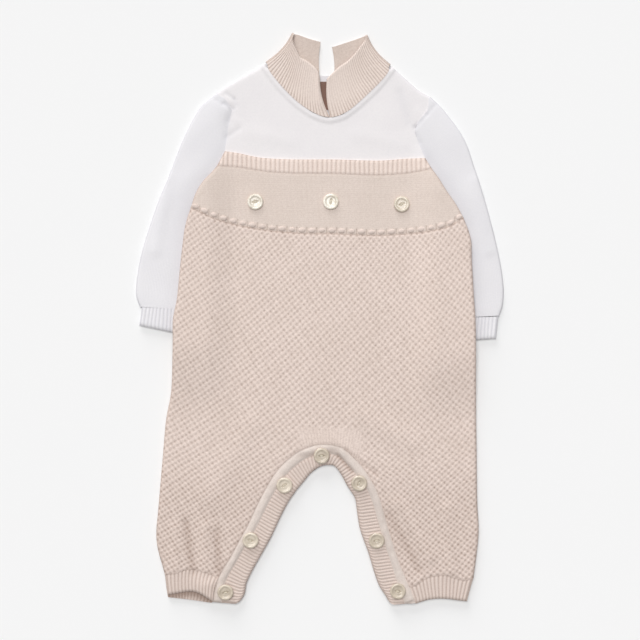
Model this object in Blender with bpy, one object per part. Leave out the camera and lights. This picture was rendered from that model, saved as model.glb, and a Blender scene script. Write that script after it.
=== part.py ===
"""A baby romper laid flat on its back, front up: a white knitted yoke with long sleeves, and a beige body
made like dungarees, with a split ribbed collar and a buttoned inseam.

Tables are in millimetres, in plan, with x across the garment and y towards the collar. Every piece that is
cut and sewn is one closed solid. Back pieces lie on the floor, front pieces lie on them.
"""

import math

import bmesh
import bpy
from mathutils import Vector
from mathutils.geometry import delaunay_2d_cdt

MM = 0.001
SMOOTH_ANGLE = 50.0

# Thickness of each cloth
BODY_WALL = 2.4
BIB_WALL = 2.2
JERSEY_WALL = 1.5
SLEEVE_CUFF_WALL = 1.8
COLLAR_WALL = 2.0
LABEL_WALL = 0.5

# Clearances
LAYER_GAP = 0.4
SEAM_GAP = 0.3
SAME_POINT = 1.0

# Rounding of the garment's outer edges, and spacing of the mesh. A ring's points keep only where they are
# within these shares of the ring's depth from the edge, and lattice points this share of the step inside it
RIM_RADIUS = 3.2
RIM_SHARE = 0.65
CURVE_STEP = 10.0
PANEL_STEP = 21.0
BAND_STEP = 10.5
RIM_RINGS = (0.9, 3.2)
RING_NEAREST = 0.8
RING_FARTHEST = 1.2
LATTICE_MARGIN = 0.55
SHARPEST_SLANT = 0.5
PLAN_PRECISION = 1e-4

# Raised edge of the yoke along the neckline, and the rolled strip round the inseam
NECK_ROLL_WIDTH = 4.0
NECK_ROLL_HEIGHT = 1.2
ROLL_HEIGHT = 1.7
ROLL_SECTION = (0.0, 0.25, 0.75, 1.0)
BAND_SECTION = (0.0, 0.5, 0.85, 1.0)
BAND_RIM_DROP = 1.2

# Collar, sleeves
FOLD_ANGLES = (0, 60, 120, 180)
COLLAR_HEIGHTS = (0.0, 0.33, 0.67, 1.0)
COLLAR_RISE = 1.6
COLLAR_DIP = 2.0
CUFF_SHARES = (0, 0.25, 0.5, 0.75, 0.94)
CUFF_STATIONS = (0, 0.5, 1)

# Buttons. Profile columns: radius, height above the button's underside, from the middle over the rim
BUTTON_RADIUS = 6.75
BUTTON_PROFILE = ((0, 1.3), (3.9, 1.35), (4.8, 1.9), (6.1, 1.9), (BUTTON_RADIUS, 1.2), (6.3, 0.5), (4.6, 0))
BUTTON_SIDES = 16
BUTTON_HOLE_RADIUS = 0.8
BUTTON_HOLE_PLACE = 1.5
BUTTON_HOLE_DEPTH = 8.0
BUTTON_HOLE_SIDES = 6
PROBE_HEIGHT = 50.0
PROBE_TURN = 30

# Edges that run across: x, y from the wearer's right to the wearer's left
NECKLINE_FRONT = ((-47, 218), (-34, 200.5), (-19, 185.5), (-4, 175.5), (7, 172.2), (18, 174.5),
                  (31.5, 184), (49, 200.5), (61, 216))
NECKLINE_BACK = ((-47, 218), (-33, 214.5), (-16, 211), (4.5, 208), (29, 210), (47, 213.5), (61, 216))
CHEST_EDGE = ((-81, 143.5), (-67.5, 141.5), (-50.5, 138), (-22, 136.5), (8.5, 136.5), (50.5, 135.5),
              (71, 137), (89.5, 137.5))
RIB_SEAM = ((-87.5, 131), (-67.5, 129.5), (-45, 126), (-16.5, 124.5), (8.5, 124.5), (48.5, 123),
            (77, 125), (95, 128.5))
BIB_HEM = ((-109.5, 95.5), (-90.5, 86.5), (-67.5, 80), (-39, 75.5), (-10.5, 73.5), (8.5, 73.5),
           (46, 72), (71, 73), (94, 75.5), (111, 80), (121.5, 87))
ANKLE_SEAM_LEFT = ((-132, -216.5), (-124, -215.5), (-110, -212), (-96, -215), (-86.9, -220))
ANKLE_SEAM_RIGHT = ((76.1, -227), (82, -225.5), (90.5, -219.5), (105, -217), (122.5, -221.5), (130.5, -219.5))
HEM_LEFT_FRONT = ((-129.5, -234), (-122.5, -232.8), (-110, -231), (-102.5, -232.5), (-95.5, -236.5),
                  (-92.2, -239))
HEM_LEFT_BACK = ((-129.5, -236), (-113, -237.8), (-102.5, -239.3), (-92.4, -240.8))
HEM_RIGHT = ((81, -241.5), (93, -238), (105, -237.2), (117, -238.5), (125, -239.5))

# Edges that run down: x, y from the top to the bottom
SHOULDER_LEFT = ((-47, 218), (-56, 212.5), (-73, 203), (-88, 193))
SHOULDER_RIGHT = ((61, 216), (76, 202.5), (85, 194.8), (94, 190))
ARMHOLE_LEFT = ((-88, 193), (-80, 186.5), (-75, 178), (-78, 164), (-79, 156), (-81, 143.5))
ARMHOLE_RIGHT = ((94, 190), (91.5, 178), (84.5, 169.5), (81, 162), (84, 150.5), (89.5, 137.5))
SIDE_LEFT = ((-81, 143.5), (-87.5, 131), (-92, 125.5), (-99.5, 117.5), (-105.5, 107.5), (-109.5, 95.5),
             (-113, 85), (-115, 76), (-118, 51), (-121.5, 17), (-124.7, 1), (-125, -25), (-126.5, -60),
             (-131, -85), (-134, -119), (-138, -165), (-139.3, -180), (-138, -195), (-132, -216.5),
             (-130.5, -229.5), (-129.5, -236))
SIDE_RIGHT = ((89.5, 137.5), (95, 128.5), (101, 120), (107.5, 109.5), (115.5, 98), (121.5, 87),
              (126, 75.5), (128.3, 66), (128.7, 51), (130.5, 20), (132, -5), (132.5, -60), (133.2, -110),
              (133.7, -153), (135, -178), (133.5, -197), (130.5, -219.5), (128, -228), (125, -239.5))
SLEEVE_OUTER_LEFT = ((-88, 193), (-95, 190), (-102, 181), (-108.5, 171), (-118.5, 149.5), (-130, 119.5),
                     (-137.5, 102), (-149, 68), (-153.5, 51), (-156.2, 34), (-156.6, 20), (-153.5, 11.5))
SLEEVE_OUTER_RIGHT = ((94, 190), (99.5, 185.5), (107.5, 176.5), (122.5, 155), (131.5, 130), (140.5, 102),
                      (149.5, 68), (155, 41), (156.6, 23), (155.6, 12), (153, 4))
SLEEVE_INNER_LEFT = ((-113, 85), (-112.5, 74), (-106, 58), (-103, 40), (-105, 9))
SLEEVE_INNER_RIGHT = ((125.5, 77), (124.5, 66), (115, 50), (109, 30), (106, 2))

# Sleeve cuffs: corners in plan, at the seam and at the hem, on the tucked side and on the fold
SLEEVE_CUFFS = {
    "left": {"seam": ((-107.5, 8), (-151.8, 10.3)), "hem": ((-107.5, -14.5), (-154, -4.6))},
    "right": {"seam": ((106, 0.8), (151.8, 1.8)), "hem": ((105, -19), (149.8, -16))},
}

# Inseam, from the right ankle's hem over the crotch to the left ankle's: the seam between the rolled strip
# and the ribbed band, and their widths there. Columns: seam x, seam y, roll width, band width
INSEAM = (
    (-83.5, -240.5, 8, 14), (-82.5, -229.5, 7.5, 18.5), (-78.5, -218.5, 7, 17), (-71, -205.5, 6.5, 15.5),
    (-62.5, -190.5, 7, 15.5), (-55, -178, 7.5, 15), (-47.5, -163, 8, 14.5), (-40, -148.5, 8, 14.5),
    (-31, -134.5, 8.5, 15), (-23, -126, 8.5, 14.5), (-13, -118.5, 8.5, 12.5), (1, -113.5, 8, 10.5),
    (15, -115.5, 8, 9), (24, -123.5, 8, 9.5), (32.5, -133.5, 8, 12), (41, -146, 7, 12.5),
    (45, -156, 7, 14.5), (50, -173.5, 7, 16.5), (56, -193.5, 7, 15.5), (61, -208.5, 7, 16),
    (65, -221, 8, 15.5), (69, -232, 8.5, 13), (72, -241.5, 9, 12),
)
INSEAM_STEP = 10.0

# Collar sections from centre front round the neck to centre back. Columns: neckline x, y, top edge x, y,
# and how far the section bows sideways at mid height
COLLAR_LEFT_FRONT = ((7.7, 173.1, -0.5, 208, -2), (0, 174.8, -3, 213.5, -1), (-8.5, 179, -7, 217.5, 0),
                     (-19, 186.4, -12, 221, 0), (-29, 196.1, -16.5, 223.5, 0), (-38, 206.5, -20, 230, 0.7),
                     (-43.2, 213.9, -23, 238, 1.4))
COLLAR_LEFT_FOLD = (-47, 218.2, -25.5, 244.5, 2)
COLLAR_LEFT_BACK = ((-41, 216.9, -20.5, 243.7, 1.2), (-33, 214.8, -19, 243, 0.8), (-16, 211.3, -9, 239.5, 0),
                    (-1, 208.9, 0, 237, -1))
COLLAR_RIGHT_FRONT = ((9, 173.1, 6, 205.5, -1.5), (17, 175.2, 11, 210.5, -1), (25.5, 180, 17, 216, 0),
                      (35, 188, 23, 220, 0), (44, 196.5, 29, 226, 0), (52.7, 205.3, 34, 232.5, -0.5),
                      (57.6, 212, 38.3, 238.5, -1.5))
COLLAR_RIGHT_FOLD = (61, 216.2, 41.5, 243, -2)
COLLAR_RIGHT_BACK = ((55, 215.2, 36.6, 241, -1.2), (47, 213.8, 32.5, 239.7, -1), (29, 210.3, 21.5, 236, 0),
                     (12.5, 208.6, 10.7, 232.5, 1))

# Where the body's side margins lie on the tucked sleeves. Columns: side, x of the tuck's inner edge,
# y of its top and its bottom
TUCKS = ((-1, -98, 112, -17), (1, 102, 108, -24))
TUCK_HEIGHT = 5.0
TUCK_SLOPE_ACROSS = 17.0
TUCK_SLOPE_DOWN = 28.0

# Soft folds in the front: start x, y, end x, y, half width, height
FOLDS = (
    (-74, 182, -88, 130, 7, 0.9), (82, 166, 93, 128, 7, 0.9), (-60, 160, -25, 150, 9, 0.5),
    (-112, -170, -108, -212, 9, 1.1), (-96, -182, -92, -214, 7, 0.9), (62, -140, 92, -205, 11, 1.2),
    (108, -160, 112, -214, 9, 0.8), (-60, -90, -92, -150, 16, 0.7), (34, -82, 80, -104, 14, 0.7),
)

# Label inside the back neck: left, right, bottom, top
LABEL = (-9, 19, 179, 203)

# Buttons: name, x, y
BUTTONS = (
    ("button_bib_1", -55, 100.4), ("button_bib_2", 9.2, 100.6), ("button_bib_3", 69.4, 98.4),
    ("button_crotch", 1.3, -115.3), ("button_left_leg_1", -30.2, -140.3), ("button_left_leg_2", -59, -187),
    ("button_left_leg_3", -80.3, -231.2), ("button_right_leg_1", 33.2, -138.6),
    ("button_right_leg_2", 48, -187.4), ("button_right_leg_3", 66.1, -230.2),
)

# Material: red, green, blue (linear), roughness
MATERIALS = {
    "white_knit": (0.83, 0.80, 0.80, 0.9),
    "white_rib": (0.83, 0.80, 0.81, 0.9),
    "beige_knit": (0.71, 0.60, 0.55, 0.9),
    "beige_rib": (0.68, 0.57, 0.51, 0.9),
    "beige_honeycomb": (0.68, 0.57, 0.52, 0.95),
    "brown_tape": (0.16, 0.10, 0.07, 0.8),
    "pearl": (0.80, 0.77, 0.66, 0.25),
}


def smoothed(rows, step):
    """Rows about `step` apart on a Catmull-Rom curve through the given rows, ends included."""
    last = len(rows) - 1
    result = []
    for i in range(last):
        knots = (rows[max(i - 1, 0)], rows[i], rows[i + 1], rows[min(i + 2, last)])
        count = max(1, round(math.dist(rows[i][:2], rows[i + 1][:2]) / step))
        for k in range(count):
            t = k / count
            result.append(tuple(
                0.5 * (2 * b + (c - a) * t + (2 * a - 5 * b + 4 * c - d) * t ** 2
                       + (3 * b - a - 3 * c + d) * t ** 3)
                for a, b, c, d in zip(*knots)
            ))
    result.append(tuple(rows[last]))
    return result


def stretch(curve, top, bottom):
    """The points of a falling curve between two heights, with one exactly on each."""
    result = []
    for start, end in zip(curve, curve[1:]):
        for height in (top, bottom):
            if start[1] > height > end[1]:
                share = (start[1] - height) / (start[1] - end[1])
                result.append((start[0] + (end[0] - start[0]) * share, height))
    inside = [point[:2] for point in curve if bottom <= point[1] <= top]
    return sorted(result + inside, key=lambda point: -point[1])


def joined(*lines):
    """One closed loop, anticlockwise, from lines that meet end to end."""
    loop = []
    for line in lines:
        for point in line:
            if not loop or math.dist(loop[-1], point[:2]) > SAME_POINT:
                loop.append(tuple(point[:2]))
    if math.dist(loop[0], loop[-1]) <= SAME_POINT:
        loop.pop()
    area = sum(a[0] * b[1] - b[0] * a[1] for a, b in zip(loop, loop[1:] + loop[:1]))
    return loop if area > 0 else loop[::-1]


def moved_in(loop, distance):
    """The loop moved towards its inside by a distance, corner by corner."""
    result = []
    for i, point in enumerate(loop):
        before = Vector(point) - Vector(loop[i - 1])
        after = Vector(loop[(i + 1) % len(loop)]) - Vector(point)
        normal = (before.normalized() + after.normalized()).normalized().orthogonal()
        slant = max(SHARPEST_SLANT, normal.dot(before.normalized().orthogonal()))
        result.append(tuple(Vector(point) + normal * distance / slant))
    return result


def moved_aside(line, distance):
    """An open line moved to its left by a distance."""
    result = []
    for i, point in enumerate(line):
        along = Vector(line[min(i + 1, len(line) - 1)][:2]) - Vector(line[max(i - 1, 0)][:2])
        result.append(tuple(Vector(point[:2]) + along.normalized().orthogonal() * distance))
    return result


def line_distance(x, y, lines):
    """How far a point is from the nearest of some lines."""
    nearest = math.inf
    for line in lines:
        for (ax, ay), (bx, by) in zip(line, line[1:]):
            length = (bx - ax) ** 2 + (by - ay) ** 2
            share = ((x - ax) * (bx - ax) + (y - ay) * (by - ay)) / length if length else 0
            share = min(1.0, max(0.0, share))
            nearest = min(nearest, math.hypot(x - ax - share * (bx - ax), y - ay - share * (by - ay)))
    return nearest


def is_inside(x, y, loop):
    """Whether a point lies inside a closed loop."""
    inside = False
    for (ax, ay), (bx, by) in zip(loop, loop[1:] + loop[:1]):
        if (ay > y) != (by > y) and x < ax + (y - ay) * (bx - ax) / (by - ay):
            inside = not inside
    return inside


def eased(share):
    """A smooth step from 0 to 1."""
    share = min(1.0, max(0.0, share))
    return share * share * (3 - 2 * share)


def tuck_lift(x, y):
    """How far the cloth is raised where it lies on a tucked sleeve."""
    lift = 0.0
    for side, inner, top, bottom in TUCKS:
        across = eased(1 + (side * (x - inner)) / TUCK_SLOPE_ACROSS)
        down = eased(1 - (y - top) / TUCK_SLOPE_DOWN) * eased(1 + (y - bottom) / TUCK_SLOPE_DOWN)
        lift += TUCK_HEIGHT * across * down
    return lift


def fold_lift(x, y):
    """Height of the soft folds in the front at a point."""
    lift = 0.0
    for ax, ay, bx, by, half_width, height in FOLDS:
        away = line_distance(x, y, [((ax, ay), (bx, by))])
        lift += height * math.exp(-((away / half_width) ** 2) * 2)
    return lift


def rim_drop(away, wall):
    """How far the outer face falls near a free edge, so that the edge is round."""
    if away >= RIM_RADIUS:
        return 0.0
    return RIM_SHARE * wall * (1 - math.sqrt(1 - (1 - away / RIM_RADIUS) ** 2))


def material(name):
    """The named finish, made once."""
    if name in bpy.data.materials:
        return bpy.data.materials[name]
    red, green, blue, roughness = MATERIALS[name]
    finish = bpy.data.materials.new(name)
    finish.use_nodes = True
    shader = finish.node_tree.nodes["Principled BSDF"]
    shader.inputs["Base Color"].default_value = (red, green, blue, 1)
    shader.inputs["Roughness"].default_value = roughness
    finish.diffuse_color = (red, green, blue, 1)
    return finish


def make_object(name, points, faces, finish):
    """A smooth-shaded object with its faces turned outwards. Points are in millimetres."""
    mesh = bpy.data.meshes.new(name)
    mesh.from_pydata([Vector(point) * MM for point in points], [], faces)
    shape = bmesh.new()
    shape.from_mesh(mesh)
    bmesh.ops.recalc_face_normals(shape, faces=shape.faces)
    bmesh.ops.triangulate(shape, faces=shape.faces)
    shape.to_mesh(mesh)
    shape.free()
    mesh.materials.append(material(finish))
    mesh.shade_smooth()
    mesh.set_sharp_from_angle(angle=math.radians(SMOOTH_ANGLE))
    result = bpy.data.objects.new(name, mesh)
    bpy.context.collection.objects.link(result)
    return result


def plan_points(loop, free_edges, step):
    """Points for a panel's mesh: its loop, rings along its free edges, and an even lattice inside."""
    points = list(loop)
    for ring in RIM_RINGS:
        for x, y in moved_in(loop, ring):
            if line_distance(x, y, free_edges) < RING_FARTHEST * ring and is_inside(x, y, loop):
                if line_distance(x, y, [loop + loop[:1]]) > RING_NEAREST * ring:
                    points.append((x, y))
    row_step = step * math.sqrt(3) / 2
    low_x, high_x = min(p[0] for p in loop), max(p[0] for p in loop)
    low_y, high_y = min(p[1] for p in loop), max(p[1] for p in loop)
    for row in range(int((high_y - low_y) / row_step) + 1):
        y = low_y + (row + 0.5) * row_step
        for column in range(int((high_x - low_x) / step) + 1):
            x = low_x + (column + 0.5 * (row % 2)) * step
            if is_inside(x, y, loop):
                if line_distance(x, y, [loop + loop[:1]]) > LATTICE_MARGIN * step:
                    points.append((x, y))
    return points


def panel(name, loop, free_edges, wall, layer, finish, extra=None, step=PANEL_STEP):
    """A flat-laid piece of cloth. `layer` is the height of its underside where nothing lies beneath the
    garment; a front piece rounds at the top of its free edges and a back piece at the bottom."""
    loop = moved_in(loop, SEAM_GAP / 2)
    points = plan_points(loop, free_edges, step)
    corners = [Vector(point) for point in points]
    plan, _, triangles, *_ = delaunay_2d_cdt(corners, [], [list(range(len(loop)))], 1,
                                                PLAN_PRECISION)
    is_front = layer > 0
    lower, upper = [], []
    for x, y in plan:
        drop = rim_drop(line_distance(x, y, free_edges), wall)
        base = layer + tuck_lift(x, y) + (fold_lift(x, y) if is_front else 0.0)
        relief = extra(x, y) if extra else 0.0
        lower.append((x, y, base if is_front else base + drop))
        upper.append((x, y, base + wall + relief - (drop if is_front else 0.0)))
    count = len(plan)
    faces = [tuple(triangle) for triangle in triangles]
    faces += [tuple(count + i for i in reversed(triangle)) for triangle in triangles]
    used = {}
    for triangle in triangles:
        for i, start in enumerate(triangle):
            end = triangle[(i + 1) % len(triangle)]
            used[frozenset((start, end))] = None if frozenset((start, end)) in used else (start, end)
    faces += [(a, b, b + count, a + count) for a, b in filter(None, used.values())]
    return make_object(name, upper + lower, faces, finish)


def closed_sheet(name, outer, inner, finish):
    """A solid between two grids of points of the same shape, closed round all four borders."""
    rows, columns = len(outer), len(outer[0])
    points = [point for row in outer for point in row] + [point for row in inner for point in row]
    shift = rows * columns
    faces = []
    for row in range(rows - 1):
        for column in range(columns - 1):
            a = row * columns + column
            quad = (a, a + 1, a + columns + 1, a + columns)
            faces.append(quad)
            faces.append(tuple(i + shift for i in reversed(quad)))
    border = [column for column in range(columns)]
    border += [row * columns + columns - 1 for row in range(1, rows)]
    border += [(rows - 1) * columns + column for column in reversed(range(columns - 1))]
    border += [row * columns for row in reversed(range(1, rows - 1))]
    for start, end in zip(border, border[1:] + border[:1]):
        faces.append((start, end, end + shift, start + shift))
    return make_object(name, points, faces, finish)


def wrapped(name, front, fold, back, wall, finish, rise=0.0):
    """A strip folded round a line and laid flat: its front sections, the line that it bends about, and its
    back sections, each a line of points. The front's far ends are raised by `rise`."""
    outer_radius = wall + LAYER_GAP / 2
    inner_radius = LAYER_GAP / 2
    outward = [(Vector(f) - Vector(n)).normalized() for f, n in zip(fold, front[-1])]
    sections = [(line, 0) for line in front]
    sections += [(fold, angle) for angle in FOLD_ANGLES]
    sections += [(line, 180) for line in back]
    grids = []
    for radius in (outer_radius, inner_radius):
        grid = []
        for line, angle in sections:
            turn = math.radians(angle)
            on_front = (1 + math.cos(turn)) / 2
            row = []
            for i, (x, y) in enumerate(line):
                share = i / (len(line) - 1)
                aside = outward[i] * radius * math.sin(turn)
                height = outer_radius + radius * math.cos(turn) + rise * on_front * share ** 2
                row.append((x + aside.x, y + aside.y, height))
            grid.append(row)
        grids.append(grid)
    return closed_sheet(name, grids[0], grids[1], finish)


def along(line, share):
    """The point at a share of a line's length."""
    lengths = [math.dist(a, b) for a, b in zip(line, line[1:])]
    target = share * sum(lengths)
    for (a, b), length in zip(zip(line, line[1:]), lengths):
        if target <= length:
            return Vector(a).lerp(Vector(b), target / length)
        target -= length
    return Vector(line[-1])


def length_shares(line):
    """Each point's share of the line's length."""
    lengths = [math.dist(a, b) for a, b in zip(line, line[1:])]
    return [sum(lengths[:i]) / sum(lengths) for i in range(len(line))]


def patch(start, end, inner, outer, shares, stations):
    """Lines of points over a four-sided piece, from the inner edge to the outer one, at shares of its
    width and at stations along it. `start` and `end` run from the inner edge to the outer one, `inner` and
    `outer` from start to end."""
    lines = []
    for a in shares:
        line = []
        for b in stations:
            point = along(start, a) * (1 - b) + along(end, a) * b
            point += along(inner, b) * (1 - a) + along(outer, b) * a
            point -= (along(start, 0) * (1 - a) + along(start, 1) * a) * (1 - b)
            point -= (along(end, 0) * (1 - a) + along(end, 1) * a) * b
            line.append(point)
        lines.append(line)
    return lines


def tube(name, start, end, inner, outer, wall, finish, shares, stations):
    """A sleeve or cuff laid flat, seamed along its inner edge and folded along its outer one."""
    lines = patch(start, end, inner, outer, [*shares, 1.0], stations)
    edge = lines.pop()
    depth = wall + LAYER_GAP / 2
    fold = [far + (near - far).normalized() * depth for near, far in zip(lines[-1], edge)]
    return wrapped(name, lines, fold, lines[::-1], wall, finish)


def build_sleeves():
    """Each sleeve from the shoulder to the cuff seam, and its ribbed cuff. A sleeve's inner edge runs from
    the armhole's innermost point down beside the body to the underarm, and then under the body."""
    plans = {
        "left": (SIDE_LEFT, ARMHOLE_LEFT, SLEEVE_INNER_LEFT, SLEEVE_OUTER_LEFT, 1),
        "right": (SIDE_RIGHT, ARMHOLE_RIGHT, SLEEVE_INNER_RIGHT, SLEEVE_OUTER_RIGHT, -1),
    }
    for side, (body_side, armhole, inner, outer, hand) in plans.items():
        underarm = stretch(smoothed(body_side, CURVE_STEP), body_side[0][1] - SAME_POINT, inner[0][1])
        line = moved_aside(smoothed(armhole, CURVE_STEP) + underarm, -hand * SEAM_GAP)
        notch = max(range(len(line)), key=lambda i: hand * line[i][0])
        seam = line[:notch + 1][::-1]
        inner = line[notch:] + smoothed([line[-1], *inner[1:]], CURVE_STEP)[1:]
        outer = [seam[-1], *outer[1:]]
        tube("sleeve_" + side, seam, [inner[-1], outer[-1]], inner, smoothed(outer, CURVE_STEP),
             JERSEY_WALL, "white_knit", length_shares(seam)[:-1], length_shares(inner))
        cuff = SLEEVE_CUFFS[side]
        (seam_inner, seam_outer), (hem_inner, hem_outer) = cuff["seam"], cuff["hem"]
        tube("sleeve_cuff_" + side, [seam_inner, seam_outer], [hem_inner, hem_outer],
             [seam_inner, hem_inner], [seam_outer, hem_outer], SLEEVE_CUFF_WALL, "white_rib",
             CUFF_SHARES, CUFF_STATIONS)


def collar_section(neck_x, neck_y, top_x, top_y, bow):
    """A section of the collar from the neckline to the top edge, bowed sideways."""
    return [
        (neck_x + (top_x - neck_x) * t + 4 * bow * t * (1 - t),
         neck_y + (top_y - neck_y) * t - COLLAR_DIP * abs(bow) * t * (1 - t))
        for t in COLLAR_HEIGHTS
    ]


def build_collars():
    """The two ribbed strips that stand round the neck, each folded at the side of the neck."""
    plans = {
        "collar_left": (COLLAR_LEFT_FRONT, COLLAR_LEFT_FOLD, COLLAR_LEFT_BACK, 1),
        "collar_right": (COLLAR_RIGHT_FRONT, COLLAR_RIGHT_FOLD, COLLAR_RIGHT_BACK, -1),
    }
    for name, (front, fold, back, inward) in plans.items():
        neck_x, neck_y, top_x, top_y, bow = fold
        shift = inward * (COLLAR_WALL + LAYER_GAP / 2)
        fold_line = collar_section(neck_x + shift, neck_y, top_x + shift, top_y - COLLAR_WALL, bow)
        wrapped(name, [collar_section(*row) for row in front], fold_line,
                [collar_section(*row) for row in back], COLLAR_WALL, "beige_rib", COLLAR_RISE)


def build_yokes():
    """The white front and back, from the neck and shoulders to the ribbed chest edge."""
    sides = [smoothed(line, CURVE_STEP) for line in (SHOULDER_LEFT, SHOULDER_RIGHT)]
    armholes = [smoothed(line, CURVE_STEP) for line in (ARMHOLE_LEFT, ARMHOLE_RIGHT)]
    chest = smoothed(CHEST_EDGE, CURVE_STEP)
    neck_front = smoothed(NECKLINE_FRONT, CURVE_STEP)
    neck_back = smoothed(NECKLINE_BACK, CURVE_STEP)

    def neck_roll(x, y):
        away = line_distance(x, y, [neck_front])
        return NECK_ROLL_HEIGHT * eased(1 - abs(away / NECK_ROLL_WIDTH - 0.5))

    for name, neck, layer, extra in (
        ("yoke_front", neck_front, JERSEY_WALL + LAYER_GAP, neck_roll),
        ("yoke_back", neck_back, 0, None),
    ):
        loop = joined(neck, sides[1], armholes[1], chest[::-1], armholes[0][::-1], sides[0][::-1])
        panel(name, loop, [neck, *sides], JERSEY_WALL, layer, "white_knit", extra)


def inseam_edges():
    """The inseam's three lines from ankle to ankle: the roll's outer edge, its seam, the band's free edge."""
    rows = smoothed(INSEAM, INSEAM_STEP)
    outer, seam, free = [], [], []
    for i, (x, y, roll, band) in enumerate(rows):
        run = Vector(rows[min(i + 1, len(rows) - 1)][:2]) - Vector(rows[max(i - 1, 0)][:2])
        side = run.normalized().orthogonal()
        outer.append(tuple(Vector((x, y)) + side * roll))
        seam.append((x, y))
        free.append(tuple(Vector((x, y)) - side * band))
    return outer, seam, free


def build_lower():
    """The beige chest ribs, plain bands, textured bodies and ankle cuffs, each in front and in back."""
    left, right = smoothed(SIDE_LEFT, CURVE_STEP), smoothed(SIDE_RIGHT, CURVE_STEP)
    chest, rib, bib = (smoothed(line, CURVE_STEP) for line in (CHEST_EDGE, RIB_SEAM, BIB_HEM))
    ankle_left = smoothed(ANKLE_SEAM_LEFT, CURVE_STEP)
    ankle_right = smoothed(ANKLE_SEAM_RIGHT, CURVE_STEP)
    hem_right = smoothed(HEM_RIGHT, CURVE_STEP)
    outer, _, _ = inseam_edges()
    crotch = max(range(len(outer)), key=lambda i: outer[i][1])
    inside_left, inside_right = outer[:crotch + 1][::-1], outer[crotch:]
    arch = stretch(inside_left, 0, ankle_left[-1][1])[::-1] + stretch(inside_right, 0, ankle_right[0][1])
    for face, hem_left in (("front", HEM_LEFT_FRONT), ("back", HEM_LEFT_BACK)):
        is_front = face == "front"
        bib_layer = BIB_WALL + LAYER_GAP if is_front else 0
        body_layer = BODY_WALL + LAYER_GAP if is_front else 0
        sides = [left, right]
        loop = joined(chest, stretch(right, chest[-1][1], rib[-1][1]), rib[::-1],
                      stretch(left, chest[0][1], rib[0][1])[::-1])
        panel("chest_rib_" + face, loop, sides, BIB_WALL, bib_layer, "beige_rib", step=BAND_STEP)
        loop = joined(rib, stretch(right, rib[-1][1], bib[-1][1]), bib[::-1],
                      stretch(left, rib[0][1], bib[0][1])[::-1])
        panel("bib_" + face, loop, sides, BIB_WALL, bib_layer, "beige_knit")
        loop = joined(bib, stretch(right, bib[-1][1], ankle_right[-1][1]), ankle_right[::-1], arch[::-1],
                      ankle_left[::-1], stretch(left, bib[0][1], ankle_left[0][1])[::-1])
        panel("body_" + face, loop, sides, BODY_WALL, body_layer, "beige_honeycomb")
        hem_left = smoothed(hem_left, CURVE_STEP)
        loop = joined(ankle_left, stretch(inside_left, ankle_left[-1][1], hem_left[-1][1]), hem_left[::-1],
                      stretch(left, ankle_left[0][1], hem_left[0][1])[::-1])
        panel("ankle_cuff_left_" + face, loop, [left, hem_left], BIB_WALL, bib_layer, "beige_rib",
              step=BAND_STEP)
        loop = joined(ankle_right, stretch(right, ankle_right[-1][1], hem_right[-1][1]), hem_right[::-1],
                      stretch(inside_right, ankle_right[0][1], hem_right[0][1])[::-1])
        panel("ankle_cuff_right_" + face, loop, [right, hem_right], BIB_WALL, bib_layer, "beige_rib",
              step=BAND_STEP)


def inseam_strip(name, inner, outer, section, wall, layer, crown, free_drop, finish):
    """A strip between two of the inseam's lines, crowned in the middle or lowered at its free edge."""
    upper, lower = [], []
    for near, far in zip(inner, outer):
        width = math.dist(near, far)
        margin = SEAM_GAP / 2 / width
        top_row, bottom_row = [], []
        for share in section:
            point = Vector(near).lerp(Vector(far), margin + share * (1 - 2 * margin))
            base = layer + (fold_lift(*point) if layer else 0.0)
            rounding = free_drop * max(0.0, (share - section[-2]) / (1 - section[-2]))
            height = wall + crown * (1 - (2 * share - 1) ** 2)
            top_row.append((*point, base + height - (rounding if layer else 0.0)))
            bottom_row.append((*point, base + (0.0 if layer else rounding)))
        upper.append(top_row)
        lower.append(bottom_row)
    return closed_sheet(name, upper, lower, finish)


def build_inseam():
    """The rolled strip and ribbed band round the front's inseam, and the back's ribbed band under them."""
    outer, seam, free = inseam_edges()
    front = BIB_WALL + LAYER_GAP
    inseam_strip("inseam_roll", outer, seam, ROLL_SECTION, BIB_WALL, front, ROLL_HEIGHT, 0, "beige_knit")
    inseam_strip("inseam_band_front", seam, free, BAND_SECTION, BIB_WALL, front, 0, BAND_RIM_DROP, "beige_rib")
    inseam_strip("inseam_band_back", outer, free, BAND_SECTION, BIB_WALL, 0, 0, BAND_RIM_DROP, "beige_rib")


def build_label():
    """A plain tape flat on the inside of the back neck."""
    left, right, bottom, top = LABEL
    low = JERSEY_WALL + SEAM_GAP
    upper = [[(x, y, low + LABEL_WALL) for x in (left, right)] for y in (bottom, top)]
    lower = [[(x, y, low) for x in (left, right)] for y in (bottom, top)]
    return closed_sheet("neck_label", upper, lower, "brown_tape")


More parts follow.
